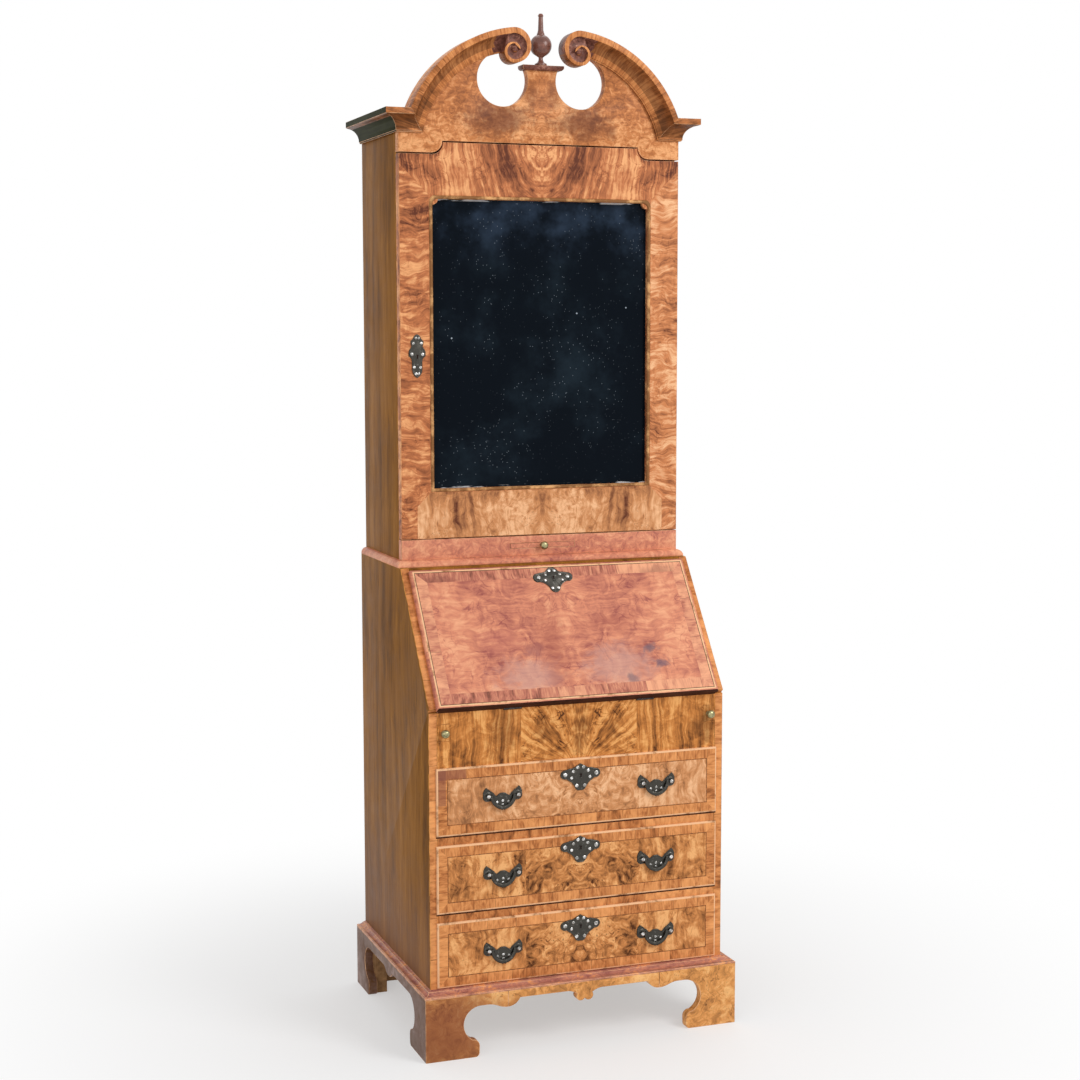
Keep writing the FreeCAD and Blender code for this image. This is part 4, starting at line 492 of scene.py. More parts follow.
def segmented(name, light, dark, hub):
    """Cross-grained lengths laid round a curve, each with its own tone."""
    finish = Finish(name, 0.40)
    place = finish.place()
    x, y, z = finish.parts(place)
    run = finish.math("SUBTRACT", finish.math("ABSOLUTE", x), hub[0])
    rise = finish.math("SUBTRACT", z, hub[1])
    angle = finish.math("ARCTAN2", run, rise)
    reach = finish.reach(run, rise)
    side = finish.math("SIGN", x)
    lengths = finish.math("MULTIPLY_ADD", angle, 4.1, finish.math("MULTIPLY", side, 0.37))
    cell = finish.math("FLOOR", lengths)
    tint = finish.random_of(finish.math("MULTIPLY_ADD", side, 7.0, cell))
    spot = finish.joined(finish.math("MULTIPLY", finish.math("MULTIPLY_ADD", tint, 5.0, angle), 60.0),
                         finish.math("MULTIPLY", reach, 14.0), finish.math("MULTIPLY", y, 14.0))
    streaks = finish.noise(spot, 1.0, 5.0, 0.66)
    clouds = finish.noise(place, 26.0, 4.0, 0.6, 1.0)
    tone = finish.math("MULTIPLY_ADD", tint, 0.22, finish.math("MULTIPLY_ADD", clouds, 0.7, -0.42))
    tone = finish.math("MULTIPLY_ADD", streaks, 0.8, tone)
    colour = finish.ramp(tone, ((0.24, shade(dark, 0.45)), (0.40, dark), (0.56, blend(dark, light, 0.6)),
                                (0.72, light)))
    seam = finish.seam(lengths, 0.492)
    colour = finish.mix(finish.math("MULTIPLY", seam, 0.7), colour, shade(dark, 0.25))
    finish.set("Base Color", colour)
    finish.polish(place, seam, streaks, 0.40)
    return finish.material


def worn_edge(name, base, wear, low=0.36, high=0.62):
    """Rounded arris where the polish has rubbed pale, with dirt left in places."""
    finish = Finish(name, 0.40)
    place = finish.place()
    patch = finish.span(finish.noise(place, 30.0, 5.0, 0.65), low, high)
    finish.set("Base Color", finish.mix(patch, shade(base, 0.5), wear))
    finish.set("Specular IOR Level", 0.12)
    finish.bump(finish.noise(place, 400.0, 3.0), 0.0003, 0.3)
    return finish.material


def side_walnut(name, colours):
    """Straight-grained walnut boards, paler and hazy towards the floor."""
    finish = Finish(name, 0.44)
    place = finish.place()
    bent = finish.wander(place, 3.5, 0.05)
    board = finish.noise(finish.vector("MULTIPLY", bent, (30, 30, 2.0)), 1.0, 5.0, 0.62)
    fine = finish.noise(finish.vector("MULTIPLY", bent, (330, 330, 7)), 1.0, 3.0, 0.6)
    cloud = finish.noise(place, 3.0, 4.0, 0.6)
    tone = finish.math("MULTIPLY_ADD", fine, 0.45, finish.math("MULTIPLY_ADD", board, 0.75, -0.36))
    tone = finish.math("MULTIPLY_ADD", cloud, 0.45, tone)
    colour = finish.ramp(tone, ((0.28, colours.side_dark), (0.48, colours.side_middle),
                                (0.70, colours.side_light)))
    pore = finish.noise(finish.vector("MULTIPLY", bent, (900, 900, 30)), 1.0, 2.0)
    pore = finish.span(pore, 0.56, 0.72)
    colour = finish.mix(finish.math("MULTIPLY", pore, 0.40), colour, shade(colours.side_dark, 0.7))
    level = finish.parts(place)[2]
    haze = finish.span(finish.math("MULTIPLY_ADD", cloud, 0.3, level), 0.62, 0.25)
    colour = finish.mix(finish.math("MULTIPLY", haze, 0.35), colour, (0.33, 0.19, 0.14))
    finish.set("Base Color", colour)
    finish.polish(place, pore, fine, 0.44, 0.03)
    return finish.material


def plain_wood(name, colour, grain=(60, 60, 60), roughness=0.6):
    """Secondary wood of the carcase: simple straight grain and dust; also the flat dark finishes of
    painted shade.
    """
    finish = Finish(name, roughness)
    place = finish.place()
    streak = finish.noise(finish.vector("MULTIPLY", place, grain), 1.0, 5.0, 0.62)
    dust = finish.noise(place, 9.0, 3.0)
    tone = finish.math("MULTIPLY_ADD", dust, 0.4, finish.math("MULTIPLY", streak, 0.6))
    finish.set("Base Color", finish.ramp(tone, ((0.34, shade(colour, 0.5)), (0.52, colour),
                                                (0.68, shade(colour, 1.4)))))
    finish.set("Specular IOR Level", 0.05)
    finish.bump(streak, 0.0004, 0.35)
    return finish.material


def old_metal(name, base, bright, roughness=0.34, patina=0.55):
    """Cast metal, dark, with brighter rubbed patches spread by noise."""
    finish = Finish(name, roughness)
    place = finish.place()
    rub = finish.span(finish.noise(place, 150.0, 5.0, 0.65), patina, patina + 0.18)
    finish.set("Base Color", finish.mix(rub, base, bright))
    finish.set("Metallic", 0.9)
    finish.set("Roughness", finish.math("MULTIPLY_ADD", finish.noise(place, 420.0, 3.0), 0.3,
                                        roughness - 0.12))
    finish.bump(finish.noise(place, 600.0, 3.0), 0.0005, 0.6)
    return finish.material


def old_mirror(name, colours, low, high):
    """Foxed silvering behind dark old glass, worn away along the bottom and top edges."""
    finish = Finish(name, 0.12)
    place = finish.place()
    x, _, z = finish.parts(place)
    haze = finish.noise(place, 6.0, 5.0, 0.62)
    top_haze = finish.math("MULTIPLY", finish.span(z, high - 0.16, high - 0.02),
                           finish.span(haze, 0.42, 0.7))
    colour = finish.mix(finish.span(haze, 0.45, 0.8), colours.glass, (0.014, 0.024, 0.034))
    colour = finish.mix(finish.math("MULTIPLY", top_haze, 0.6), colour, (0.045, 0.07, 0.12))
    distance, pick = finish.dots(place, 34.0)
    chosen = finish.math("GREATER_THAN", finish.parts(pick)[0], 0.90)
    speck = finish.math("MULTIPLY", finish.span(distance, 0.085, 0.03), chosen)
    dust_distance, dust_pick = finish.dots(finish.vector("MULTIPLY", place, (1.0, 1.0, 0.6)), 260.0)
    dust = finish.math("MULTIPLY", finish.span(dust_distance, 0.22, 0.08),
                       finish.math("GREATER_THAN", finish.parts(dust_pick)[1], 0.93))
    dust = finish.math("MULTIPLY", dust, finish.span(haze, 0.42, 0.62, 0.05, 0.5))
    scratched = finish.noise(finish.vector("MULTIPLY", place, (60, 1, 330)), 1.0, 2.0)
    low_place = finish.math("MULTIPLY", finish.span(z, low + 0.20, low + 0.10),
                            finish.span(finish.noise(place, 9.0, 3.0), 0.52, 0.66))
    scratch = finish.math("MULTIPLY", finish.span(scratched, 0.66, 0.74), low_place)
    marks = finish.math("MAXIMUM", finish.math("MAXIMUM", speck, dust),
                        finish.math("MULTIPLY", scratch, 0.45))
    colour = finish.mix(marks, colour, (0.40, 0.46, 0.52))
    rise = finish.math("MINIMUM", finish.math("SUBTRACT", z, low), finish.math("SUBTRACT", high, z))
    worn = finish.math("MULTIPLY", finish.span(rise, 0.0045, 0.0025),
                       finish.span(finish.noise(finish.vector("MULTIPLY", place, (14, 1, 70)), 1.0, 4.0),
                                   0.52, 0.58))
    colour = finish.mix(worn, colour, (0.55, 0.58, 0.60))
    finish.set("Base Color", colour)
    finish.set("Specular IOR Level", 0.03)
    finish.set("Roughness", finish.math("MULTIPLY_ADD", haze, 0.12, 0.05))
    finish.bump(finish.noise(place, 5.0, 2.0), 0.002, 0.05)
    return finish.material


FINISHES = {}


def make_finishes(c):
    """Every material of the piece, by a short name."""
    burr = (c.burr_dark, c.burr_middle, c.burr_light)
    frieze = (c.frieze_dark, c.frieze_middle, c.frieze_light)
    door = (c.door_dark, c.door_middle, c.door_light)
    fall = (c.fall_dark, c.fall_middle, c.fall_light)
    deep = (c.frieze_dark, blend(c.frieze_middle, c.burr_middle, 0.4),
            blend(c.frieze_light, c.burr_light, 0.3))
    FINISHES.update({
        "burr": walnut("Burr walnut", burr, knots=38, swirl=1.0, streak=0.2, cloud=0.75, line=0.18,
                       cloud_scale=11, pips=0.5, warp=0.02, lift=0.05),
        "streaked": walnut("Streaked walnut", burr, "plain", grain=(75, 30, 13), swirl=0.55, streak=0.75,
                           cloud=0.7, line=0.12, knots=30, warp=0.022, cloud_scale=8, lift=0.07),
        "deep burr": walnut("Deep burr walnut", deep, knots=42, swirl=1.15, streak=0.3, cloud=0.9,
                            line=0.22, cloud_scale=12, pips=0.6, warp=0.02),
        "deep streaked": walnut("Deep streaked walnut", deep, "plain", grain=(70, 30, 16), swirl=0.75,
                                streak=0.9, cloud=0.8, line=0.14, knots=32, warp=0.022, cloud_scale=8,
                                lift=0.02),
        "frieze": walnut("Feathered walnut", frieze, "fan", hub=(0.0, 0.60, 1.0), grain=(120, 30, 9),
                         swirl=0.8, streak=1.0, cloud=0.8, line=0.26, knots=34, warp=0.016,
                         cloud_scale=14, pips=0.4, lift=0.02, spots=(
                             (0.0, 0.69, 0.022, 0.060, c.frieze_dark, 0.45, 1.4),
                             (-0.075, 0.69, 0.030, 0.030, c.frieze_dark, 0.35, 1.4),
                             (0.075, 0.69, 0.030, 0.030, c.frieze_dark, 0.35, 1.4))),
        "frieze ends": walnut("Striped walnut", frieze, "matched", grain=(85, 30, 6), swirl=0.6,
                              streak=1.25, cloud=0.7, line=0.06, cloud_scale=9, lift=0.02, spots=(
                                  (-0.175, 0.69, 0.035, 0.06, c.frieze_dark, 0.35, 1.2),
                                  (0.30, 0.68, 0.045, 0.05, c.frieze_dark, 0.45, 1.2))),
        "door top": walnut("Figured walnut top rail", door, "rings", hub=(0.0, 1.975, 0.55),
                           grain=(130, 30, 16), swirl=0.45, streak=1.1, cloud=0.85, line=0.14, knots=30,
                           warp=0.018, cloud_scale=7, lift=0.03),
        "door foot": walnut("Figured walnut bottom rail", (c.door_dark, c.burr_middle, c.burr_light),
                            "rings", hub=(0.075, 1.155, 0.6), grain=(80, 30, 14), swirl=0.55, streak=0.8,
                            cloud=0.9, line=0.12, knots=28, warp=0.020, cloud_scale=8, pips=0.3,
                            lift=0.03),
        "stile": walnut("Figured walnut stiles", door, "plain", grain=(16, 30, 120), swirl=0.45,
                        streak=1.0, cloud=0.9, line=0.12, knots=30, warp=0.034, cloud_scale=7,
                        lift=0.01),
        "stile right": walnut("Figured walnut right stile",
                              (c.door_dark, (0.70, 0.26, 0.10), c.burr_light), "plain",
                              grain=(16, 30, 120), swirl=0.45, streak=0.95, cloud=0.8,
                              line=0.10, knots=30, warp=0.034, cloud_scale=7, lift=0.04),
        "pediment": walnut("Clouded burr walnut", (c.door_dark, (0.62, 0.225, 0.075), c.door_light),
                           grain=(30, 30, 110), swirl=0.65, streak=0.55, cloud=0.8, line=0.12, knots=60,
                           warp=0.016, cloud_scale=10, pips=0.3, lift=0.04, spots=(
                               (-0.10, 2.000, 0.095, 0.045, c.door_dark, 0.65, 0.9),
                               (0.10, 2.000, 0.095, 0.045, c.door_dark, 0.65, 0.9),
                               (-0.03, 2.055, 0.03, 0.04, c.door_dark, 0.4, 0.9),
                               (0.03, 2.055, 0.03, 0.04, c.door_dark, 0.4, 0.9))),
        "fall": walnut("Faded walnut", fall, "matched", grain=(12, 20, 150), swirl=0.75, streak=0.6,
                       cloud=0.9, line=0.16, knots=26, warp=0.02, cloud_scale=7, roughness=0.46, spots=(
                           (-0.105, 0.805, 0.085, 0.045, (0.60, 0.33, 0.28), 0.65, 0.8),
                           (0.105, 0.815, 0.095, 0.050, (0.60, 0.33, 0.28), 0.65, 0.8),
                           (0.19, 0.845, 0.020, 0.010, (0.16, 0.12, 0.15), 0.7, 1.4),
                           (0.205, 0.815, 0.018, 0.008, (0.14, 0.10, 0.14), 0.7, 1.4),
                           (0.13, 0.790, 0.014, 0.009, (0.16, 0.12, 0.15), 0.6, 1.4),
                           (-0.15, 0.875, 0.060, 0.030, (0.50, 0.15, 0.12), 0.4, 1.2),
                           (-0.035, 0.86, 0.035, 0.11, (0.42, 0.12, 0.08), 0.45, 1.0),
                           (0.11, 0.90, 0.10, 0.022, (0.45, 0.13, 0.09), 0.35, 1.2),
                           (-0.08, 0.855, 0.030, 0.018, (0.34, 0.11, 0.10), 0.5, 1.2))),
        "foot": walnut("Walnut feet", (c.burr_dark, (0.80, 0.35, 0.105), (1.0, 0.56, 0.22)), "plain",
                       grain=(40, 30, 24), swirl=0.8, streak=0.3, cloud=0.6, line=0.14, knots=40,
                       pips=0.4, lift=0.03, spots=(
                           (-0.31, 0.06, 0.17, 0.13, (0.26, 0.075, 0.034), 0.80, 0.35),)),
        "side foot": walnut("Side feet", (c.side_dark, (0.21, 0.12, 0.09), (0.36, 0.24, 0.20)), "plain",
                            grain=(30, 20, 40), swirl=0.7, streak=0.5, cloud=0.8),
        "facing": banding("Crossgrained facings", c.band_light, c.band_dark, joint=0.085, along="z",
                          width=0.5, contrast=0.2),
        "rail": banding("Crossgrained rails", c.band_light, c.band_dark, joint=0.11, along="x",
                        width=0.35, contrast=0.2),
        "shelf rail": walnut("Upper rail", fall, "plain", grain=(30, 30, 50), swirl=0.8, streak=0.5,
                             cloud=0.6, line=0.08, knots=60, warp=0.012, lift=0.03),
        "moulding": walnut("Mottled walnut moulding", ((0.30, 0.10, 0.09), c.moulding, c.band_light),
                           "plain", grain=(90, 90, 30), swirl=0.9, streak=0.5, cloud=0.8, knots=60,
                           cloud_scale=14, roughness=0.36),
        "neck": segmented("Walnut moulding lengths", c.band_light, c.band_dark, NECK_HUB),
        # The cove is the neck's moulding lengths made darker for the faces turned down or away: painted
        # shade
        "cove": segmented("Walnut cove lengths in painted shade", shade(c.band_light, 0.66), shade(c.band_dark, 0.55),
                          NECK_HUB),
        "volute": walnut("Carved walnut", ((0.06, 0.02, 0.014), (0.26, 0.10, 0.07), (0.62, 0.33, 0.23)),
                         grain=(50, 20, 50), swirl=0.9, streak=0.4, cloud=0.6, knots=70,
                         roughness=0.32),
        "finial": walnut("Turned walnut",
                         ((0.07, 0.024, 0.018), (0.24, 0.095, 0.065), (0.50, 0.26, 0.18)), "plain",
                         grain=(50, 50, 12), swirl=0.5, streak=0.4, cloud=0.5,
                         roughness=0.26, gloss=0.5),
        # Near-black olive for the cornice's left end faces: painted shade
        "shaded side": plain_wood("Cornice side in painted shade", (0.030, 0.032, 0.011), grain=(20, 20, 200)),
        # Flat dark finish for the strips under the drawers and the down-turned faces of the fall: painted
        # shade
        "under": plain_wood("Painted shade under edges", (0.060, 0.020, 0.012), grain=(40, 200, 200),
                            roughness=0.5),
        "side": side_walnut("Straight-grained walnut", c),
        "crossband": banding("Crossbanding", c.band_light, c.band_dark, spots=(
            (-0.292, 0.620, 0.033, 0.020, c.stain, 0.62, 0.0),
            (-0.316, 0.585, 0.012, 0.040, c.stain, 0.55, 0.0))),
        "feather": banding("Feather line", shade(c.band_dark, 0.9), shade(c.burr_dark, 1.4), joint=0.006),
        "fall band": banding("Fall banding", c.fall_light, blend(c.fall_dark, c.fall_middle, 0.5),
                             joint=0.11, along="x", contrast=0.25, spots=(
                                 (-0.27, 0.995, 0.05, 0.02, c.stain, 0.6, 0.8),
                                 (0.25, 0.995, 0.06, 0.02, c.stain, 0.5, 0.8))),
        "fall side band": banding("Fall side banding", c.fall_light,
                                  blend(c.fall_dark, c.fall_middle, 0.5), joint=0.10, along="z",
                                  contrast=0.25),
        "lip": worn_edge("Worn lip", c.burr_middle, c.edge, 0.30, 0.50),
        "edge": worn_edge("Worn arris", c.burr_middle, c.edge),
        "side edge": worn_edge("Side arris", c.side_middle, shade(c.side_light, 1.9)),
        "oak": plain_wood("Oak", c.oak, grain=(90, 9, 90)),
        "drawer oak": plain_wood("Drawer oak", shade(c.oak, 1.3), grain=(90, 9, 90)),
        "back": plain_wood("Deal boards", shade(c.oak, 0.8), grain=(70, 70, 6), roughness=0.75),
        "bronze": old_metal("Patinated brass", c.bronze, (0.22, 0.21, 0.19), patina=0.56),
        # Brighter metal on the tops of bosses and caps: painted glint, partly rubbed high spots
        "glint": old_metal("Rubbed high spots and painted glint", (0.30, 0.29, 0.27), (0.85, 0.84, 0.82), 0.26, 0.44),
        "brass": old_metal("Rubbed brass", shade(c.brass, 0.5), c.brass, roughness=0.3, patina=0.4),
        "iron": old_metal("Iron", (0.05, 0.045, 0.042), (0.16, 0.15, 0.14), roughness=0.5),
        "gilt": worn_edge("Pale bead", c.gilt, (0.85, 0.46, 0.19), 0.45, 0.68),
        # Flat near-black for keyholes and the groove inside the fall's lip: painted shade
        "gap": plain_wood("Shadow line", (0.020, 0.010, 0.008), roughness=0.8),
    })


# Meshes
class Shape:
    """Points and faces collected for one piece, each face with its finish and its grain place."""

    def __init__(self, *finishes):
        self.finishes = finishes
        self.points, self.faces, self.slots, self.places = [], [], [], []

    def face(self, corners, finish, places=None):
        first = len(self.points)
        self.points += [Vector(corner) for corner in corners]
        self.faces.append(tuple(range(first, first + len(corners))))
        self.slots.append(self.finishes.index(finish))
        self.places.append(places or [(0, 0)] * len(corners))

    def mesh(self, name):
        mesh = bpy.data.meshes.new(name)
        mesh.from_pydata(self.points, [], self.faces)
        for finish in self.finishes:
            mesh.materials.append(FINISHES[finish])
        grain = mesh.uv_layers.new(name="Grain")
        for polygon, finish, places in zip(mesh.polygons, self.slots, self.places):
            polygon.material_index = finish
            for loop, place in zip(polygon.loop_indices, places):
                grain.data[loop].uv = place
        weld(mesh)
        return mesh

    def build(self, name, body, replaces=(), extra=()):
        mesh = self.mesh(name)
        for other in extra:
            gather(mesh, other)
        mesh.shade_smooth()
        mesh.set_sharp_from_angle(angle=SMOOTH_ANGLE)
        return stand(mesh, name, body, replaces)


def weld(mesh):
    """Join points that meet, and turn the faces of each closed shell outwards."""
    work = bmesh.new()
    work.from_mesh(mesh)
    bmesh.ops.remove_doubles(work, verts=work.verts, dist=WELD)
    bmesh.ops.recalc_face_normals(work, faces=work.faces)
    work.to_mesh(mesh)
    work.free()


def gather(mesh, other):
    """Add another mesh of the same finish to the first one."""
    work = bmesh.new()
    work.from_mesh(mesh)
    work.from_mesh(other)
    work.to_mesh(mesh)
    work.free()
    bpy.data.meshes.remove(other)


def stand(mesh, name, body, replaces=()):
    """Put a finished mesh in the scene on the body that carries it."""
    piece = bpy.data.objects.new(name, mesh)
    bpy.context.scene.collection.objects.link(piece)
    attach(piece, body)
    if replaces:
        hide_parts(*replaces)
    return piece


def dress(node, finishes, pick=None, bevel=0.0009, edge=None, bands=()):
    """A welded copy of a frame piece with rounded, worn arrises and a finish for each face."""
    source = frame["nodes"][node]
    mesh = source.data.copy()
    mesh.materials.clear()
    for finish in finishes:
        mesh.materials.append(FINISHES[finish])
    mesh.materials.append(FINISHES[edge or finishes[0]])
    work = bmesh.new()
    work.from_mesh(mesh)
    bmesh.ops.remove_doubles(work, verts=work.verts, dist=WELD * 10)
    bmesh.ops.dissolve_limit(work, angle_limit=math.radians(0.5), verts=work.verts, edges=work.edges)
    work.normal_update()
    for face in work.faces:
        face.material_index = pick(face.calc_center_median(), face.normal) if pick else 0
    if bevel:
        sharp = [e for e in work.edges if e.is_manifold and e.calc_face_angle(0) > SMOOTH_ANGLE]
        bmesh.ops.bevel(work, geom=sharp, offset=bevel, segments=2, profile=0.5, affect="EDGES",
                        clamp_overlap=True, material=len(finishes))
    for width, direction, across, along in bands:
        work.normal_update()
        front = max((f for f in work.faces if f.normal.dot(direction) > 0.99),
                    key=lambda f: f.calc_area())
        ring = bmesh.ops.inset_region(work, faces=[front], thickness=width, use_even_offset=True)
        for face in ring["faces"]:
            longest = max(face.edges, key=lambda e: e.calc_length())
            run = longest.verts[1].co - longest.verts[0].co
            face.material_index = across if abs(run.x) > run.length / 2 else along
    # A bevel can throw the tip of a thin corner outwards, past the board it belongs to
    low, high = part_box(node)
    for vert in work.verts:
        vert.co = Vector([min(max(c, a), b) for c, a, b in zip(vert.co, low, high)])
    work.to_mesh(mesh)
    work.free()
    mesh.shade_smooth()
    mesh.set_sharp_from_angle(angle=SMOOTH_ANGLE)
    return stand(mesh, node + "_dressed", source["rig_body"], (node,))


def paint(node, finish):
    """A frame piece that keeps its own mesh, in a new finish."""
    item = frame["nodes"][node]
    item.data.materials.clear()
    item.data.materials.append(FINISHES[finish])


def arc_points(start, end, share, steps):
    """Points after the start along an arc whose radius is a share of its chord, plus to the left."""
    chord = (end - start).length
    radius = abs(share) * chord
    rise = math.copysign(math.sqrt(max(radius * radius - chord * chord / 4, 0)), share)
    along = (end - start) / chord
    centre = (start + end) / 2 + Vector((-along.y, along.x)) * rise
    first = start - centre
    turn_angle = 2 * math.asin(min(1, chord / 2 / radius)) * math.copysign(1, share)
    return [centre + Matrix.Rotation(turn_angle * i / steps, 2) @ first for i in range(1, steps + 1)]


def traced(shares, across, up, steps=6):
    """Outline as points, from shares of two sizes where a third number makes an arc."""
    corners = [Vector((p[0] * across, p[1] * up)) for p in shares]
    points = [corners[0]]
    for i in range(1, len(corners)):
        if len(shares[i]) > 2:
            points += arc_points(corners[i - 1], corners[i], shares[i][2], steps)
        else:
            points.append(corners[i])
    return points


def both_sides(points):
    """Closed outline from its right half, which starts and ends on the middle line."""
    return points + [Vector((-p.x, p.y)) for p in reversed(points[1:-1])]


def turn(shape, profile, place, finish, axis, steps=28):
    """Turned piece: a profile of radii and heights spun about an axis from its foot."""
    axis = Vector(axis).normalized()
    side = axis.orthogonal().normalized()
    other = axis.cross(side)
    place = Vector(place)
    rows = []
    for radius, height in profile:
        spokes = steps if radius > WELD else 1
        rows.append([place + axis * height + (side * math.cos(a) + other * math.sin(a)) * radius
                     for a in (math.tau * i / spokes for i in range(spokes))])
    for low, high in zip(rows, rows[1:]):
        for i in range(steps if len(low) + len(high) > 2 else 0):
            j = (i + 1) % steps
            corners = [low[i % len(low)], low[j % len(low)], high[j % len(high)], high[i % len(high)]]
            unique = [c for k, c in enumerate(corners) if (c - corners[k - 1]).length > WELD]
            if len(unique) > 2:
                shape.face(unique, finish)


def relief(shape, outline, centre, rows, to_point, finish):
    """Cast relief: the outline drawn in towards a centre row by row, each row at its own height."""
    centre = Vector(centre)
    rings = [[to_point(*(centre + (p - centre) * share), height) for p in outline]
             for share, height in rows]
    count = len(outline)
    shape.face(rings[0], finish)
    for low, high in zip(rings, rings[1:]):
        for i in range(count):
            j = (i + 1) % count
            shape.face([low[i], low[j], high[j], high[i]], finish)
    shape.face(rings[-1], finish)


def upright(face):
    """Gives points over an upright face from their place across, up and out of it."""
    return lambda x, z, height: Vector((x, face - height, z))


def sheet(shape, outline, to_point, thickness, finish):
    """A flat piece from its outline, with its face and its edges."""
    top = [to_point(p[0], p[1], thickness) for p in outline]
    foot = [to_point(p[0], p[1], -HAIR) for p in outline]
    shape.face(top, finish)
    shape.face(foot, finish)
    for i in range(len(outline)):
        j = (i + 1) % len(outline)
        shape.face([foot[i], foot[j], top[j], top[i]], finish)


# Node tree of the bails, which follow a path
def rod_tree():
    """A rod that follows the edges of a path, as thick at each point as the path says."""
    tree = bpy.data.node_groups.new("Rod along a path", "GeometryNodeTree")
    for label, kind in (("Geometry", "Geometry"), ("Flatness", "Float"), ("Sides", "Int"),
                        ("Finish", "Material")):
        tree.interface.new_socket(label, in_out="INPUT", socket_type="NodeSocket" + kind)
    tree.interface.new_socket("Geometry", in_out="OUTPUT", socket_type="NodeSocketGeometry")
    add, link = tree.nodes.new, tree.links.new
    start = add("NodeGroupInput")
    curve = add("GeometryNodeMeshToCurve")
    link(start.outputs["Geometry"], curve.inputs["Mesh"])
    circle = add("GeometryNodeCurvePrimitiveCircle")
    circle.inputs["Radius"].default_value = 1.0
    link(start.outputs["Sides"], circle.inputs["Resolution"])
    factors = add("ShaderNodeCombineXYZ")
    factors.inputs[0].default_value = factors.inputs[2].default_value = 1.0
    link(start.outputs["Flatness"], factors.inputs[1])
    squeeze = add("GeometryNodeTransform")
    link(circle.outputs[0], squeeze.inputs["Geometry"])
    link(factors.outputs[0], squeeze.inputs["Scale"])
    thick = add("GeometryNodeInputNamedAttribute")
    thick.data_type = "FLOAT"
    thick.inputs["Name"].default_value = "thickness"
    swept = add("GeometryNodeCurveToMesh")
    swept.inputs["Fill Caps"].default_value = True
    link(curve.outputs[0], swept.inputs["Curve"])
    link(squeeze.outputs[0], swept.inputs["Profile Curve"])
    link(thick.outputs["Attribute"], swept.inputs["Scale"])
    realize = add("GeometryNodeRealizeInstances")
    link(swept.outputs[0], realize.inputs[0])
    material = add("GeometryNodeSetMaterial")
    link(realize.outputs[0], material.inputs["Geometry"])
    link(start.outputs["Finish"], material.inputs["Material"])
    link(material.outputs[0], add("NodeGroupOutput").inputs[0])
    return tree


def rod(tree, points, thickness, finish, flatness, sides):
    """A rod through the points as a plain mesh, squeezed from front to back by its flatness."""
    path = bpy.data.meshes.new("Path")
    path.from_pydata(points, [(i, i + 1) for i in range(len(points) - 1)], [])
    path.attributes.new("thickness", "FLOAT", "POINT").data.foreach_set("value", thickness)
    carrier = bpy.data.objects.new("Path", path)
    bpy.context.scene.collection.objects.link(carrier)
    modifier = carrier.modifiers.new("Grow", "NODES")
    modifier.node_group = tree
    values = {"Flatness": flatness, "Sides": sides, "Finish": FINISHES[finish]}
    for item in tree.interface.items_tree:
        if item.in_out == "INPUT" and item.name in values:
            modifier[item.identifier] = values[item.name]
    mesh = bpy.data.meshes.new_from_object(
        carrier.evaluated_get(bpy.context.evaluated_depsgraph_get()))
    bpy.data.objects.remove(carrier)
    bpy.data.meshes.remove(path)
    weld(mesh)
    return mesh


# Veneered fronts
def rectangle(left, right, low, high, inset=0.0):
    return ((left + inset, low + inset), (right - inset, low + inset), (right - inset, high - inset),
            (left + inset, high - inset))


def ring_faces(shape, to_row, outer, inner, outer_out, inner_out, finish, offset):
    """Four mitred strips between two rectangles, with the grain place along and across each."""
    for i in range(4):
        j = (i + 1) % 4
        corners = [to_row(*outer[i], outer_out), to_row(*outer[j], outer_out),
                   to_row(*inner[j], inner_out), to_row(*inner[i], inner_out)]
        axis = 0 if i % 2 == 0 else 1
        across = offset + math.hypot(abs(outer[i][1 - axis] - inner[i][1 - axis]), outer_out - inner_out)
        shift = 1.7 * i + outer[0][1] * 9
        places = [(outer[i][axis] + shift, offset), (outer[j][axis] + shift, offset),
                  (inner[j][axis] + shift, across), (inner[i][axis] + shift, across)]
        shape.face(corners, finish, places)


def lip_layers(round_radius, thickness, band, feather, steps=5):
    """Layers over a rounded lip: back edge, quarter round, crossband, feather line and field edge."""
    layers = [(0.0, HAIR, "lip"), (0.0, thickness - round_radius, "lip")]
    for i in range(1, steps + 1):
        angle = math.pi / 2 * i / steps
        layers.append((round_radius * (1 - math.cos(angle)),
                       thickness - round_radius * (1 - math.sin(angle)), "lip"))
    layers.append((round_radius + band, thickness, "crossband"))
    layers.append((round_radius + band + feather, thickness, "feather"))
    return layers


def layered(shape, to_row, bounds, layers, fields, joints):
    """The veneered face of a board: layers of (inset, height, finish), then the leaves of the field."""
    offset = 0.0
    for (last_inset, last_height, _), (inset, height, finish) in zip(layers, layers[1:]):
        ring_faces(shape, to_row, rectangle(*bounds, last_inset), rectangle(*bounds, inset), last_height,
                   height, finish, offset)
        offset += math.hypot(inset - last_inset, height - last_height)
    left, right, low, high = bounds
    inset, height, _ = layers[-1]
    marks = [left + inset, *joints, right - inset]
    for start, end, finish in zip(marks, marks[1:], fields):
        corners = rectangle(start, end, low + inset, high - inset)
        shape.face([to_row(*p, height) for p in corners], finish, corners)


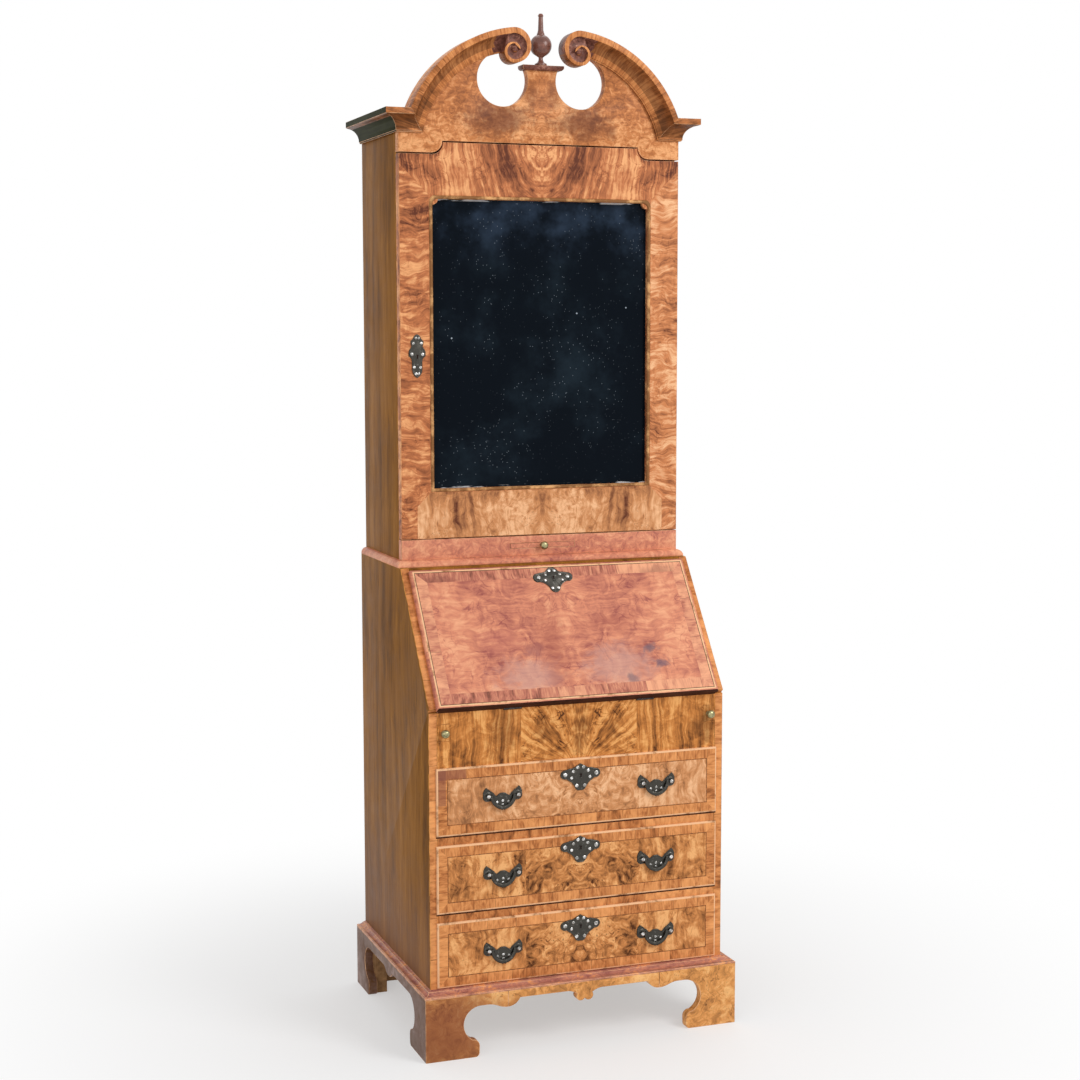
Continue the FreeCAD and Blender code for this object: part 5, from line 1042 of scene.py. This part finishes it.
class BUREAU_OT_carcase(bpy.types.Operator):
    """Case sides, rails, plinth, mouldings and the boards inside"""

    bl_idname = "bureau.carcase"
    bl_label = "Carcase"

    def execute(self, context):
        wear = context.scene.bureau_sizes.edge_wear
        for side, _ in SIDES:
            dress("bureau_side_" + side, ("side", "facing"),
                  lambda centre, normal: 1 if normal.y < -0.3 else 0, wear, "side edge")
            dress("cabinet_side_" + side, ("side",), None, wear, "side edge")
        for node, slot, finishes, bevel, edge in (
                ("front_brackets", "burr_walnut", ("foot",), wear, "edge"),
                ("front_apron", "burr_walnut", ("foot",), wear, "edge"),
                ("side_brackets", "walnut", ("side foot",), wear, "edge"),
                ("plinth_moulding", "walnut", ("moulding",), MOULDING_ARRIS, "lip"),
                ("waist_moulding", "walnut", ("shelf rail",), MOULDING_ARRIS, "lip"),
                ("frieze_panel", "burr_walnut", ("frieze", "frieze ends"), THIN_ARRIS, "frieze"),
                ("drawer_dividers", "walnut", ("rail",), ARRIS, "rail"),
                ("frieze_rail", "burr_walnut", ("shelf rail",), ARRIS, "edge")):
            dress(node, finishes, None, bevel, edge)
        for finish, nodes in (
                ("oak", ("rear_feet", "bureau_bottom", "loper_guides", "cabinet_top_and_floor",
                         "cabinet_shelves")),
                ("back", ("bureau_back", "cabinet_back", "door_backboard")),
                ("side", ("bureau_top", "pigeonholes")),
                ("iron", ("hinge_plates", "door_ironwork", "fall_ironwork")),
                ("shelf rail", ("writing_bed", "well_cover", "candle_slide")),
                ("streaked", ("inner_drawer_left", "inner_drawer_right")),
                ("frieze ends", ("loper_left", "loper_right"))):
            for node in nodes:
                paint(node, finish)
        self.frieze_ends()
        self.shadow_lines()
        return {"FINISHED"}

    def frieze_ends(self):
        """Striped outer leaves of the frieze, cut round the ends of the lopers."""
        low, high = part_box("frieze_panel")
        shape = Shape("frieze ends")
        for side, sign in SIDES:
            bar_low, bar_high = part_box("loper_" + side)
            near, far = sorted((abs(bar_low.x), abs(bar_high.x)))
            gap = LOPER_ROOM
            top, foot = high.z - FRIEZE_MARGIN, low.z + FRIEZE_MARGIN
            inner = FRIEZE_JOINTS[1]
            outline = [(inner, foot), (far + gap, foot), (far + gap, bar_low.z - gap),
                       (near - gap, bar_low.z - gap), (near - gap, bar_high.z + gap),
                       (far + gap, bar_high.z + gap), (far + gap, top), (inner, top)]
            sheet(shape, [(x * sign, z) for x, z in outline], upright(FRONT_FACE), HAIR, "frieze ends")
        shape.build("frieze_outer_leaves", "carcase")

    def shadow_lines(self):
        """Painted shadow: a dark strip in the angle under each drawer's lip."""
        shape = Shape("under")
        for drawer in DRAWERS:
            low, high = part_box(drawer + "_front")
            # The strip stands for the shade under the lip: painted shadow, not dirt
            top = min(low.z + SHADOW_STRIP_OVERLAP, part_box(drawer + "_box")[0].z - HAIR)
            sheet(shape, rectangle(low.x, high.x, low.z - SHADOW_STRIP_DEPTH, top),
                  upright(FRONT_FACE), HAIR, "under")
        shape.build("drawer_shadow_lines", "carcase")


class BUREAU_OT_drawer_fronts(bpy.types.Operator):
    """Veneered fronts of the three long drawers, with crossbanding inside a rounded lip"""

    bl_idname = "bureau.drawer_fronts"
    bl_label = "Drawer Fronts"

    def execute(self, context):
        sizes = context.scene.bureau_sizes
        for drawer in DRAWERS:
            low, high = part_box(drawer + "_front")
            core_low, core_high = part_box(drawer + "_box")
            depth = "" if drawer == "top_drawer" else "deep "
            burr, streaked = depth + "burr", depth + "streaked"
            shape = Shape(burr, streaked, "crossband", "feather", "lip", "drawer oak")
            core = rectangle(core_low.x, core_high.x, core_low.z, core_high.z)
            to_row = upright(FRONT_FACE)
            shape.face([to_row(*p, FRONT_FACE - high.y) for p in core], "drawer oak", core)
            ring_faces(shape, to_row, core, core, FRONT_FACE - high.y, HAIR, "drawer oak", 0.0)
            outer = rectangle(low.x, high.x, low.z, high.z)
            ring_faces(shape, to_row, core, outer, HAIR, HAIR, "drawer oak", 0.0)
            layers = lip_layers(sizes.lip_round, FRONT_FACE - low.y, sizes.crossband, sizes.feather)
            layered(shape, to_row, (low.x, high.x, low.z, high.z), layers,
                    (streaked, burr, burr, streaked), DRAWER_JOINTS)
            shape.build(drawer + "_veneered_front", drawer, (drawer + "_front",))
            paint(drawer + "_box", "drawer oak")
        return {"FINISHED"}


class BUREAU_OT_mounts(bpy.types.Operator):
    """Cast handles, escutcheons and turned knobs"""

    bl_idname = "bureau.mounts"
    bl_label = "Brass Mounts"

    rise = 0.0
    rod_tree = None

    def execute(self, context):
        self.rise = context.scene.bureau_sizes.relief
        self.rod_tree = rod_tree()
        for drawer in DRAWERS:
            self.drawer_mounts(drawer)
        self.fall_escutcheon()
        self.door_escutcheon()
        self.knobs()
        return {"FINISHED"}

    def plate(self, shape, outline, centre, to_point):
        rows = [(share, self.rise * height) for share, height in ESCUTCHEON_ROWS]
        relief(shape, outline, centre, [(rows[0][0], -HAIR)] + rows, to_point, "bronze")

    def boss(self, shape, place, out, radius, height):
        profile = ((0, -HAIR), (radius, -HAIR), (radius, height * 0.3), (radius * 0.82, height * 0.72),
                   (radius * 0.5, height * 0.95), (0, height))
        turn(shape, profile[:4], place, "bronze", out, 16)
        # The top of each boss takes the bright glint metal: painted highlight, partly rubbed brass
        turn(shape, profile[3:], place, "glint", out, 16)

    def keyhole(self, shape, to_point):
        """Raised rim with the dark hole and slot inside it; the dark inside is painted shade."""
        hole = [(KEYHOLE_RADIUS * math.sin(a), KEYHOLE_RADIUS * math.cos(a))
                for a in (math.radians(25 * i - 150) for i in range(13))]
        half, foot = KEYHOLE_SLOT
        hole += [(half, -foot), (-half, -foot)]
        wide, tall = KEYHOLE_RIM
        for spread_x, spread_z, height, finish in ((wide, tall, 0.0011, "bronze"), (1, 1, 0.0013, "gap")):
            outline = [(x * spread_x, KEYHOLE_LEVEL + z * spread_z) for x, z in hole]
            sheet(shape, outline, to_point, self.rise + height, finish)

    def escutcheon(self, shape, outline, size, middle, studs, here, out):
        """Cast plate with its keyhole and the same studs on both sides."""
        self.plate(shape, both_sides(traced(outline, *size)), middle, here)
        for x, z, radius in studs:
            for sign in (-1, 1):
                self.boss(shape, here(x * sign, z, self.rise * 0.2), out, radius, self.rise * 1.1)
        self.keyhole(shape, here)

    def drawer_mounts(self, drawer):
        node = frame["nodes"][drawer + "_mounts"]
        face = LIP_FACE - PLATE
        on_plate = [v.co for v in node.data.vertices if abs(v.co.y - face) < WELD * 20]
        # The top of the outline is the highest point of the plate near the middle line
        crest = max(p.z for p in on_plate if abs(p.x) < DRAWER_PLATE_REACH)
        level = crest - DRAWER_ESCUTCHEON[-1][1] * DRAWER_PLATE[1]
        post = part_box(drawer + "_bail_left")[1].z - BAIL_TOP * BAIL_DROP
        paint(drawer + "_mounts", "bronze")
        shape = Shape("bronze", "gap", "glint")
        to_point = upright(face)

        def here(x, z, height):
            return to_point(x, z + level, height)

        self.escutcheon(shape, DRAWER_ESCUTCHEON, DRAWER_PLATE, (0, -0.001), DRAWER_STUDS, here, FRONT)
        rosette, cap = ([(radius / 1000, height / 1000) for radius, height in profile]
                        for profile in (POST_ROSETTE, POST_CAP))
        for side, sign in SIDES:
            centre = sign * HANDLE_CENTRE
            outline = both_sides(traced(HANDLE_PLATE, POST_HALF, BAIL_DROP))
            relief(shape, outline, (0, -0.010), HANDLE_ROWS,
                   lambda x, z, h: to_point(x + centre, z + post, h), "bronze")
            for x, z, radius in HANDLE_STUDS:
                self.boss(shape, to_point(centre + x, post + z, 0.0004), FRONT, radius, 0.0013)
            for end in (-1, 1):
                place = to_point(centre + end * POST_HALF, post, 0)
                turn(shape, rosette, place, "bronze", FRONT)
                turn(shape, cap[:CAP_SHINE_FROM + 1], place, "bronze", FRONT)
                # The top of the cap takes the bright glint metal: painted highlight, partly rubbed brass
                turn(shape, cap[CAP_SHINE_FROM:], place, "glint", FRONT)
            self.bail(drawer, side, centre, post, face - PIN_FORWARD)
        shape.build(drawer + "_cast_relief", drawer)

    def bail(self, drawer, side, centre, post, depth):
        """Crescent bail swept along its path, with a pin through each post."""
        outer, inner = (traced(edge, POST_HALF, BAIL_DROP, 14) for edge in (BAIL_OUTER, BAIL_INNER))
        half = [((a + b) / 2, (a - b).length / 2) for a, b in zip(outer, inner)]
        full = [(Vector((-p.x, p.y)), r) for p, r in reversed(half[1:])] + half
        points, thickness = [], []
        for (p, r), (q, s) in zip(full, full[1:]):
            for step in range(3):
                at = p.lerp(q, step / 3)
                ridge = math.exp(-((abs(at.x) - RIDGE_PLACE) / RIDGE_WIDTH) ** 2) * RIDGE_SWELL
                points.append(Vector((at.x + centre, depth, at.y + post)))
                thickness.append((r + (s - r) * step / 3) * (1 + ridge))
        points.append(Vector((full[-1][0].x + centre, depth, full[-1][0].y + post)))
        thickness.append(full[-1][1])
        swept = rod(self.rod_tree, points, thickness, "bronze", BAIL_FLATNESS, 14)
        pins = Shape("bronze")
        for sign in (-1, 1):
            start = Vector((centre + sign * PIN_START, depth, post))
            length = PIN_REACH - PIN_START
            turn(pins, ((0, 0), (PIN_RADIUS, 0), (PIN_RADIUS, length), (0, length)), start, "bronze",
                 (sign, 0, 0), 16)
        name = "%s_bail_%s" % (drawer, side)
        pins.build(name + "_cast", name, (name,), (swept,))

    def fall_escutcheon(self):
        low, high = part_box("fall_escutcheon")
        centre = (low + high) / 2 + FALL_UP * (FALL_PLATE_RAISE * FALL_PLATE[1]) + FALL_OUT * (PLATE / 2)
        self.loose_escutcheon("fall_escutcheon", FALL_ESCUTCHEON, FALL_PLATE, centre, FALL_UP, FALL_OUT,
                              FALL_STUDS, "fall")

    def door_escutcheon(self):
        low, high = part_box("door_escutcheon")
        centre = (low + high) / 2 + FRONT * (PLATE / 2)
        self.loose_escutcheon("door_escutcheon", DOOR_ESCUTCHEON, DOOR_PLATE, centre, UP, FRONT,
                              DOOR_STUDS, "door")

    def loose_escutcheon(self, node, outline, size, centre, up, out, studs, body):
        paint(node, "bronze")
        shape = Shape("bronze", "gap", "glint")

        def here(x, z, rise):
            return centre + Vector((x, 0, 0)) + up * z + out * rise

        self.escutcheon(shape, outline, size, (0, 0), studs, here, out)
        shape.build(node + "_relief", body)

    def knobs(self):
        """Turned brass knobs over the plain ones of lopers, candle slide and small drawers."""
        for node, (radius, length) in (
                ("loper_left", KNOB_SIZE), ("loper_right", KNOB_SIZE), ("candle_slide", KNOB_SIZE),
                ("inner_drawer_left", SMALL_KNOB_SIZE), ("inner_drawer_right", SMALL_KNOB_SIZE)):
            item = frame["nodes"][node]
            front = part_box(node)[0].y
            tip = [v.co for v in item.data.vertices if v.co.y < front + WELD * 10]
            centre = sum(tip, Vector()) / len(tip)
            shape = Shape("brass")
            profile = [(p.x, p.y) for p in traced(KNOB, radius * 1.012, length * 1.004, 8)]
            turn(shape, profile, (centre.x, front + length, centre.z), "brass", FRONT, 32)
            shape.build(node + "_knob", item["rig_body"])


class BUREAU_OT_fall(bpy.types.Operator):
    """Sloping fall with its worn lip, a dark line painted as the shade of a groove, and mitred banding"""

    bl_idname = "bureau.fall"
    bl_label = "Fall"

    def execute(self, context):
        sizes = context.scene.bureau_sizes
        finishes = ("fall", "lip", "gap", "fall band", "fall side band", "under")
        # Faces turned down under the fall take the dark under finish: painted shade
        dress("fall_board", finishes, lambda c, n: 5 if n.dot(FALL_UP) < -0.5 else 0,
              ARRIS, "lip",
              ((sizes.fall_lip, FALL_OUT, 1, 1), (sizes.fall_groove, FALL_OUT, 2, 2),
               (sizes.fall_band, FALL_OUT, 3, 4)))
        return {"FINISHED"}


class BUREAU_OT_door(bpy.types.Operator):
    """Door frame with its mitred leaves, the bead and the old mirror plate"""

    bl_idname = "bureau.door"
    bl_label = "Mirror Door"

    def execute(self, context):
        sizes = context.scene.bureau_sizes
        dress("door_frame", ("door top",), None, ARRIS, "lip")
        sight_low, sight_high = (corner.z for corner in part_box("mirror_bead"))
        FINISHES["mirror"] = old_mirror("Old mirror", context.scene.bureau_colours,
                                        sight_low + SIGHT_EDGE, sight_high - SIGHT_EDGE)
        dress("mirror_plate", ("mirror",), None, THIN_ARRIS, "mirror")
        paint("mirror_bead", "gilt")
        self.leaves(sizes.veneer)
        return {"FINISHED"}

    def leaves(self, veneer):
        low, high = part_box("door_frame")
        bead_low, bead_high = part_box("mirror_bead")
        edge, gap = LEAF_MARGIN, LEAF_JOINT
        left, right = low.x + edge, high.x - edge
        foot, top = low.z + edge, high.z - edge
        in_left, in_right = bead_low.x - edge, bead_high.x + edge
        in_foot, in_top = bead_low.z - edge, bead_high.z + edge
        hollow = HEAD_HOLLOW_RADIUS + edge
        shoulder = high.z - hollow
        shape = Shape("door top", "door foot", "stile", "stile right")
        step = [(HEAD_HOLLOW_X - hollow * math.sin(a), high.z - hollow * math.cos(a))
                for a in (HEAD_HOLLOW_STEP * i for i in range(HEAD_HOLLOW_POINTS))]
        to_point = upright(DOOR_FACE)
        mitre_foot = in_foot - MITRE_REACH
        reach = in_right + MITRE_REACH
        top_leaf = [(in_left + gap, in_top), (in_right - gap, in_top),
                    (right, in_top + (right - in_right)), (right, shoulder), *step]
        top_leaf += [(-x, z) for x, z in reversed(step)]
        top_leaf += [(left, shoulder), (left, in_top + (in_left - left))]
        sheet(shape, top_leaf, to_point, veneer, "door top")
        for sign, finish in ((-1, "stile"), (1, "stile right")):
            outline = [(right * sign, foot), (right * sign, in_top + (right - in_right) - gap * 2),
                       (in_right * sign, in_top - gap * 2), (in_right * sign, in_foot + gap * 2),
                       ((reach + gap) * sign, mitre_foot), ((reach + gap) * sign, foot)]
            sheet(shape, outline, to_point, veneer, finish)
        sheet(shape, [(-reach, foot), (reach, foot), (reach, mitre_foot), (in_right - gap, in_foot),
                      (in_left + gap, in_foot), (-reach, mitre_foot)], to_point, veneer, "door foot")
        shape.build("door_leaves", "door")


class BUREAU_OT_pediment(bpy.types.Operator):
    """Swan-neck pediment with its cornice, scrolls, cap and turned finial"""

    bl_idname = "bureau.pediment"
    bl_label = "Pediment"

    def execute(self, context):
        dress("tympanum", ("pediment",), None, ARRIS, "edge")
        # The cornice's left end faces take the near-black side finish and its down-turned faces the
        # darker cove copy: painted shade
        dress("cornice", ("neck", "cove", "shaded side"),
              lambda c, n: 2 if n.x < -0.4 and c.y > -0.06 else 1 if n.z < -0.2 else 0, ARRIS, "edge")
        dress("pediment_cap", ("volute",), None, ARRIS, "edge")

        def neck_face(centre, normal):
            if abs(centre.x) < VOLUTE_REACH and centre.z > VOLUTE_FOOT:
                return 2
            # Faces that face neither the front nor up take the darker cove copy: painted shade
            return 0 if normal.y < -0.9 or normal.z > 0.3 else 1

        for side, _ in SIDES:
            dress("swan_neck_" + side, ("neck", "cove", "volute"), neck_face, NECK_ARRIS, "edge")
        low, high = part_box("finial")
        shape = Shape("finial")
        profile = [(p.x, p.y) for p in traced(FINIAL, (high.x - low.x) / 2, high.z - low.z, 9)]
        turn(shape, profile, ((low.x + high.x) / 2, (low.y + high.y) / 2, low.z), "finial", UP, 48)
        shape.build("finial_turned", "carcase", ("finial",))
        return {"FINISHED"}


class BUREAU_OT_stage(bpy.types.Operator):
    """Pale floor, soft light and the camera"""

    bl_idname = "bureau.stage"
    bl_label = "Stage"

    camera_place = Vector((-1.5067, -4.0981, 1.5376))
    camera_turn = (-20.194, -6.078, 0.079)
    camera_lens = 64.93
    sky = 0.60
    # Each lamp: its name, place and target in metres, width in metres and power in watts
    lamps = (("Window", (2.4, -3.6, 3.7), (0, 0, 1.2), 2.4, 104),
             ("Fill", (-3.0, -3.4, 1.9), (0, 0, 1.0), 2.6, 18),
             ("Sky", (0.4, 1.2, 4.6), (0, 0, 1.2), 2.6, 22))

    def execute(self, context):
        scene = context.scene
        scene.view_settings.view_transform = "Standard"
        world = bpy.data.worlds.new("Studio")
        scene.world = world
        world.use_nodes = True
        tree = world.node_tree
        background = tree.nodes["Background"]
        background.inputs["Color"].default_value = (1, 1, 1, 1)
        tree.links.new(self.seen(tree, self.sky), background.inputs["Strength"])

        yaw, pitch, roll = (math.radians(angle) for angle in self.camera_turn)
        turned = (Matrix.Rotation(yaw, 3, "Z") @ Matrix.Rotation(pitch, 3, "X")
                  @ Matrix.Rotation(roll, 3, "Y"))
        right, ahead, up = (turned @ Vector(axis) for axis in ((1, 0, 0), (0, 1, 0), (0, 0, 1)))
        camera = bpy.data.objects.new("Camera", bpy.data.cameras.new("Camera"))
        scene.collection.objects.link(camera)
        camera.data.lens = self.camera_lens
        camera.data.sensor_width = 36
        camera.matrix_world = Matrix((
            (right.x, up.x, -ahead.x, self.camera_place.x),
            (right.y, up.y, -ahead.y, self.camera_place.y),
            (right.z, up.z, -ahead.z, self.camera_place.z), (0, 0, 0, 1)))
        camera.data.clip_end = 100
        scene.camera = camera

        for lamp in self.lamps:
            self.lamp(*lamp)
        self.floor()
        return {"FINISHED"}

    def seen(self, tree, plain):
        """White to the camera and in gloss and glass, the plain level for what lights the object."""
        path = tree.nodes.new("ShaderNodeLightPath")
        first = tree.nodes.new("ShaderNodeMath")
        second = tree.nodes.new("ShaderNodeMath")
        first.operation = second.operation = "MAXIMUM"
        tree.links.new(path.outputs["Is Camera Ray"], first.inputs[0])
        tree.links.new(path.outputs["Is Glossy Ray"], first.inputs[1])
        tree.links.new(first.outputs[0], second.inputs[0])
        tree.links.new(path.outputs["Is Transmission Ray"], second.inputs[1])
        strength = tree.nodes.new("ShaderNodeMapRange")
        tree.links.new(second.outputs[0], strength.inputs[0])
        strength.inputs[3].default_value = plain
        strength.inputs[4].default_value = 1.0
        return strength.outputs[0]

    def lamp(self, name, place, target, size, power):
        data = bpy.data.lights.new(name, "AREA")
        data.shape = "DISK"
        data.size = size
        data.energy = power
        lamp = bpy.data.objects.new(name, data)
        bpy.context.scene.collection.objects.link(lamp)
        lamp.location = place
        lamp.rotation_euler = (Vector(target) - Vector(place)).to_track_quat("-Z", "Y").to_euler()

    def floor(self):
        mesh = bpy.data.meshes.new("Floor")
        half = 14.0
        mesh.from_pydata([(-half, -half, 0), (half, -half, 0), (half, half, 0), (-half, half, 0)], [],
                         [(0, 1, 2, 3)])
        finish = Finish("Pale floor", 0.8)
        finish.set("Base Color", (0.93, 0.93, 0.93, 1))
        finish.set("Specular IOR Level", 0.2)
        place = finish.place()
        finish.bump(finish.noise(place, 60.0, 3.0), 0.0003, 0.1)
        glow = finish.node("ShaderNodeEmission")
        finish.plug(glow.inputs["Strength"], self.seen(finish.tree, self.sky))
        far = finish.node("ShaderNodeVectorMath", operation="LENGTH")
        finish.plug(far.inputs[0], place)
        blend_in = finish.node("ShaderNodeMixShader")
        finish.plug(blend_in.inputs[0], finish.span(far.outputs["Value"], 0.45, 1.7, 0.45, 1.0))
        finish.plug(blend_in.inputs[1], finish.shader.outputs["BSDF"])
        finish.plug(blend_in.inputs[2], glow.outputs[0])
        finish.plug(finish.output.inputs["Surface"], blend_in.outputs[0])
        mesh.materials.append(finish.material)
        floor = bpy.data.objects.new("Floor", mesh)
        bpy.context.scene.collection.objects.link(floor)


OPERATORS = (BUREAU_OT_carcase, BUREAU_OT_drawer_fronts, BUREAU_OT_mounts, BUREAU_OT_fall, BUREAU_OT_door,
             BUREAU_OT_pediment, BUREAU_OT_stage)


class BUREAU_PT_panel(bpy.types.Panel):
    """Sidebar panel with the sizes, the colours and a button for each group of pieces"""

    bl_idname = "BUREAU_PT_panel"
    bl_label = "Bureau Cabinet"
    bl_space_type = "VIEW_3D"
    bl_region_type = "UI"
    bl_category = "Bureau"

    def draw(self, context):
        for group in (context.scene.bureau_sizes, context.scene.bureau_colours):
            box = self.layout.box()
            for key in group.__annotations__:
                box.prop(group, key)
        for operator in OPERATORS:
            self.layout.operator(operator.bl_idname)


CLASSES = (BureauColours, BureauSizes, *OPERATORS, BUREAU_PT_panel)


def register():
    for item in CLASSES:
        bpy.utils.register_class(item)
    bpy.types.Scene.bureau_colours = PointerProperty(type=BureauColours)
    bpy.types.Scene.bureau_sizes = PointerProperty(type=BureauSizes)


def unregister():
    del bpy.types.Scene.bureau_sizes
    del bpy.types.Scene.bureau_colours
    for item in reversed(CLASSES):
        bpy.utils.unregister_class(item)


def main():
    register()
    make_finishes(bpy.context.scene.bureau_colours)
    for operator in OPERATORS:
        group, name = operator.bl_idname.split(".")
        getattr(getattr(bpy.ops, group), name)()


if __name__ == "__main__":
    main()
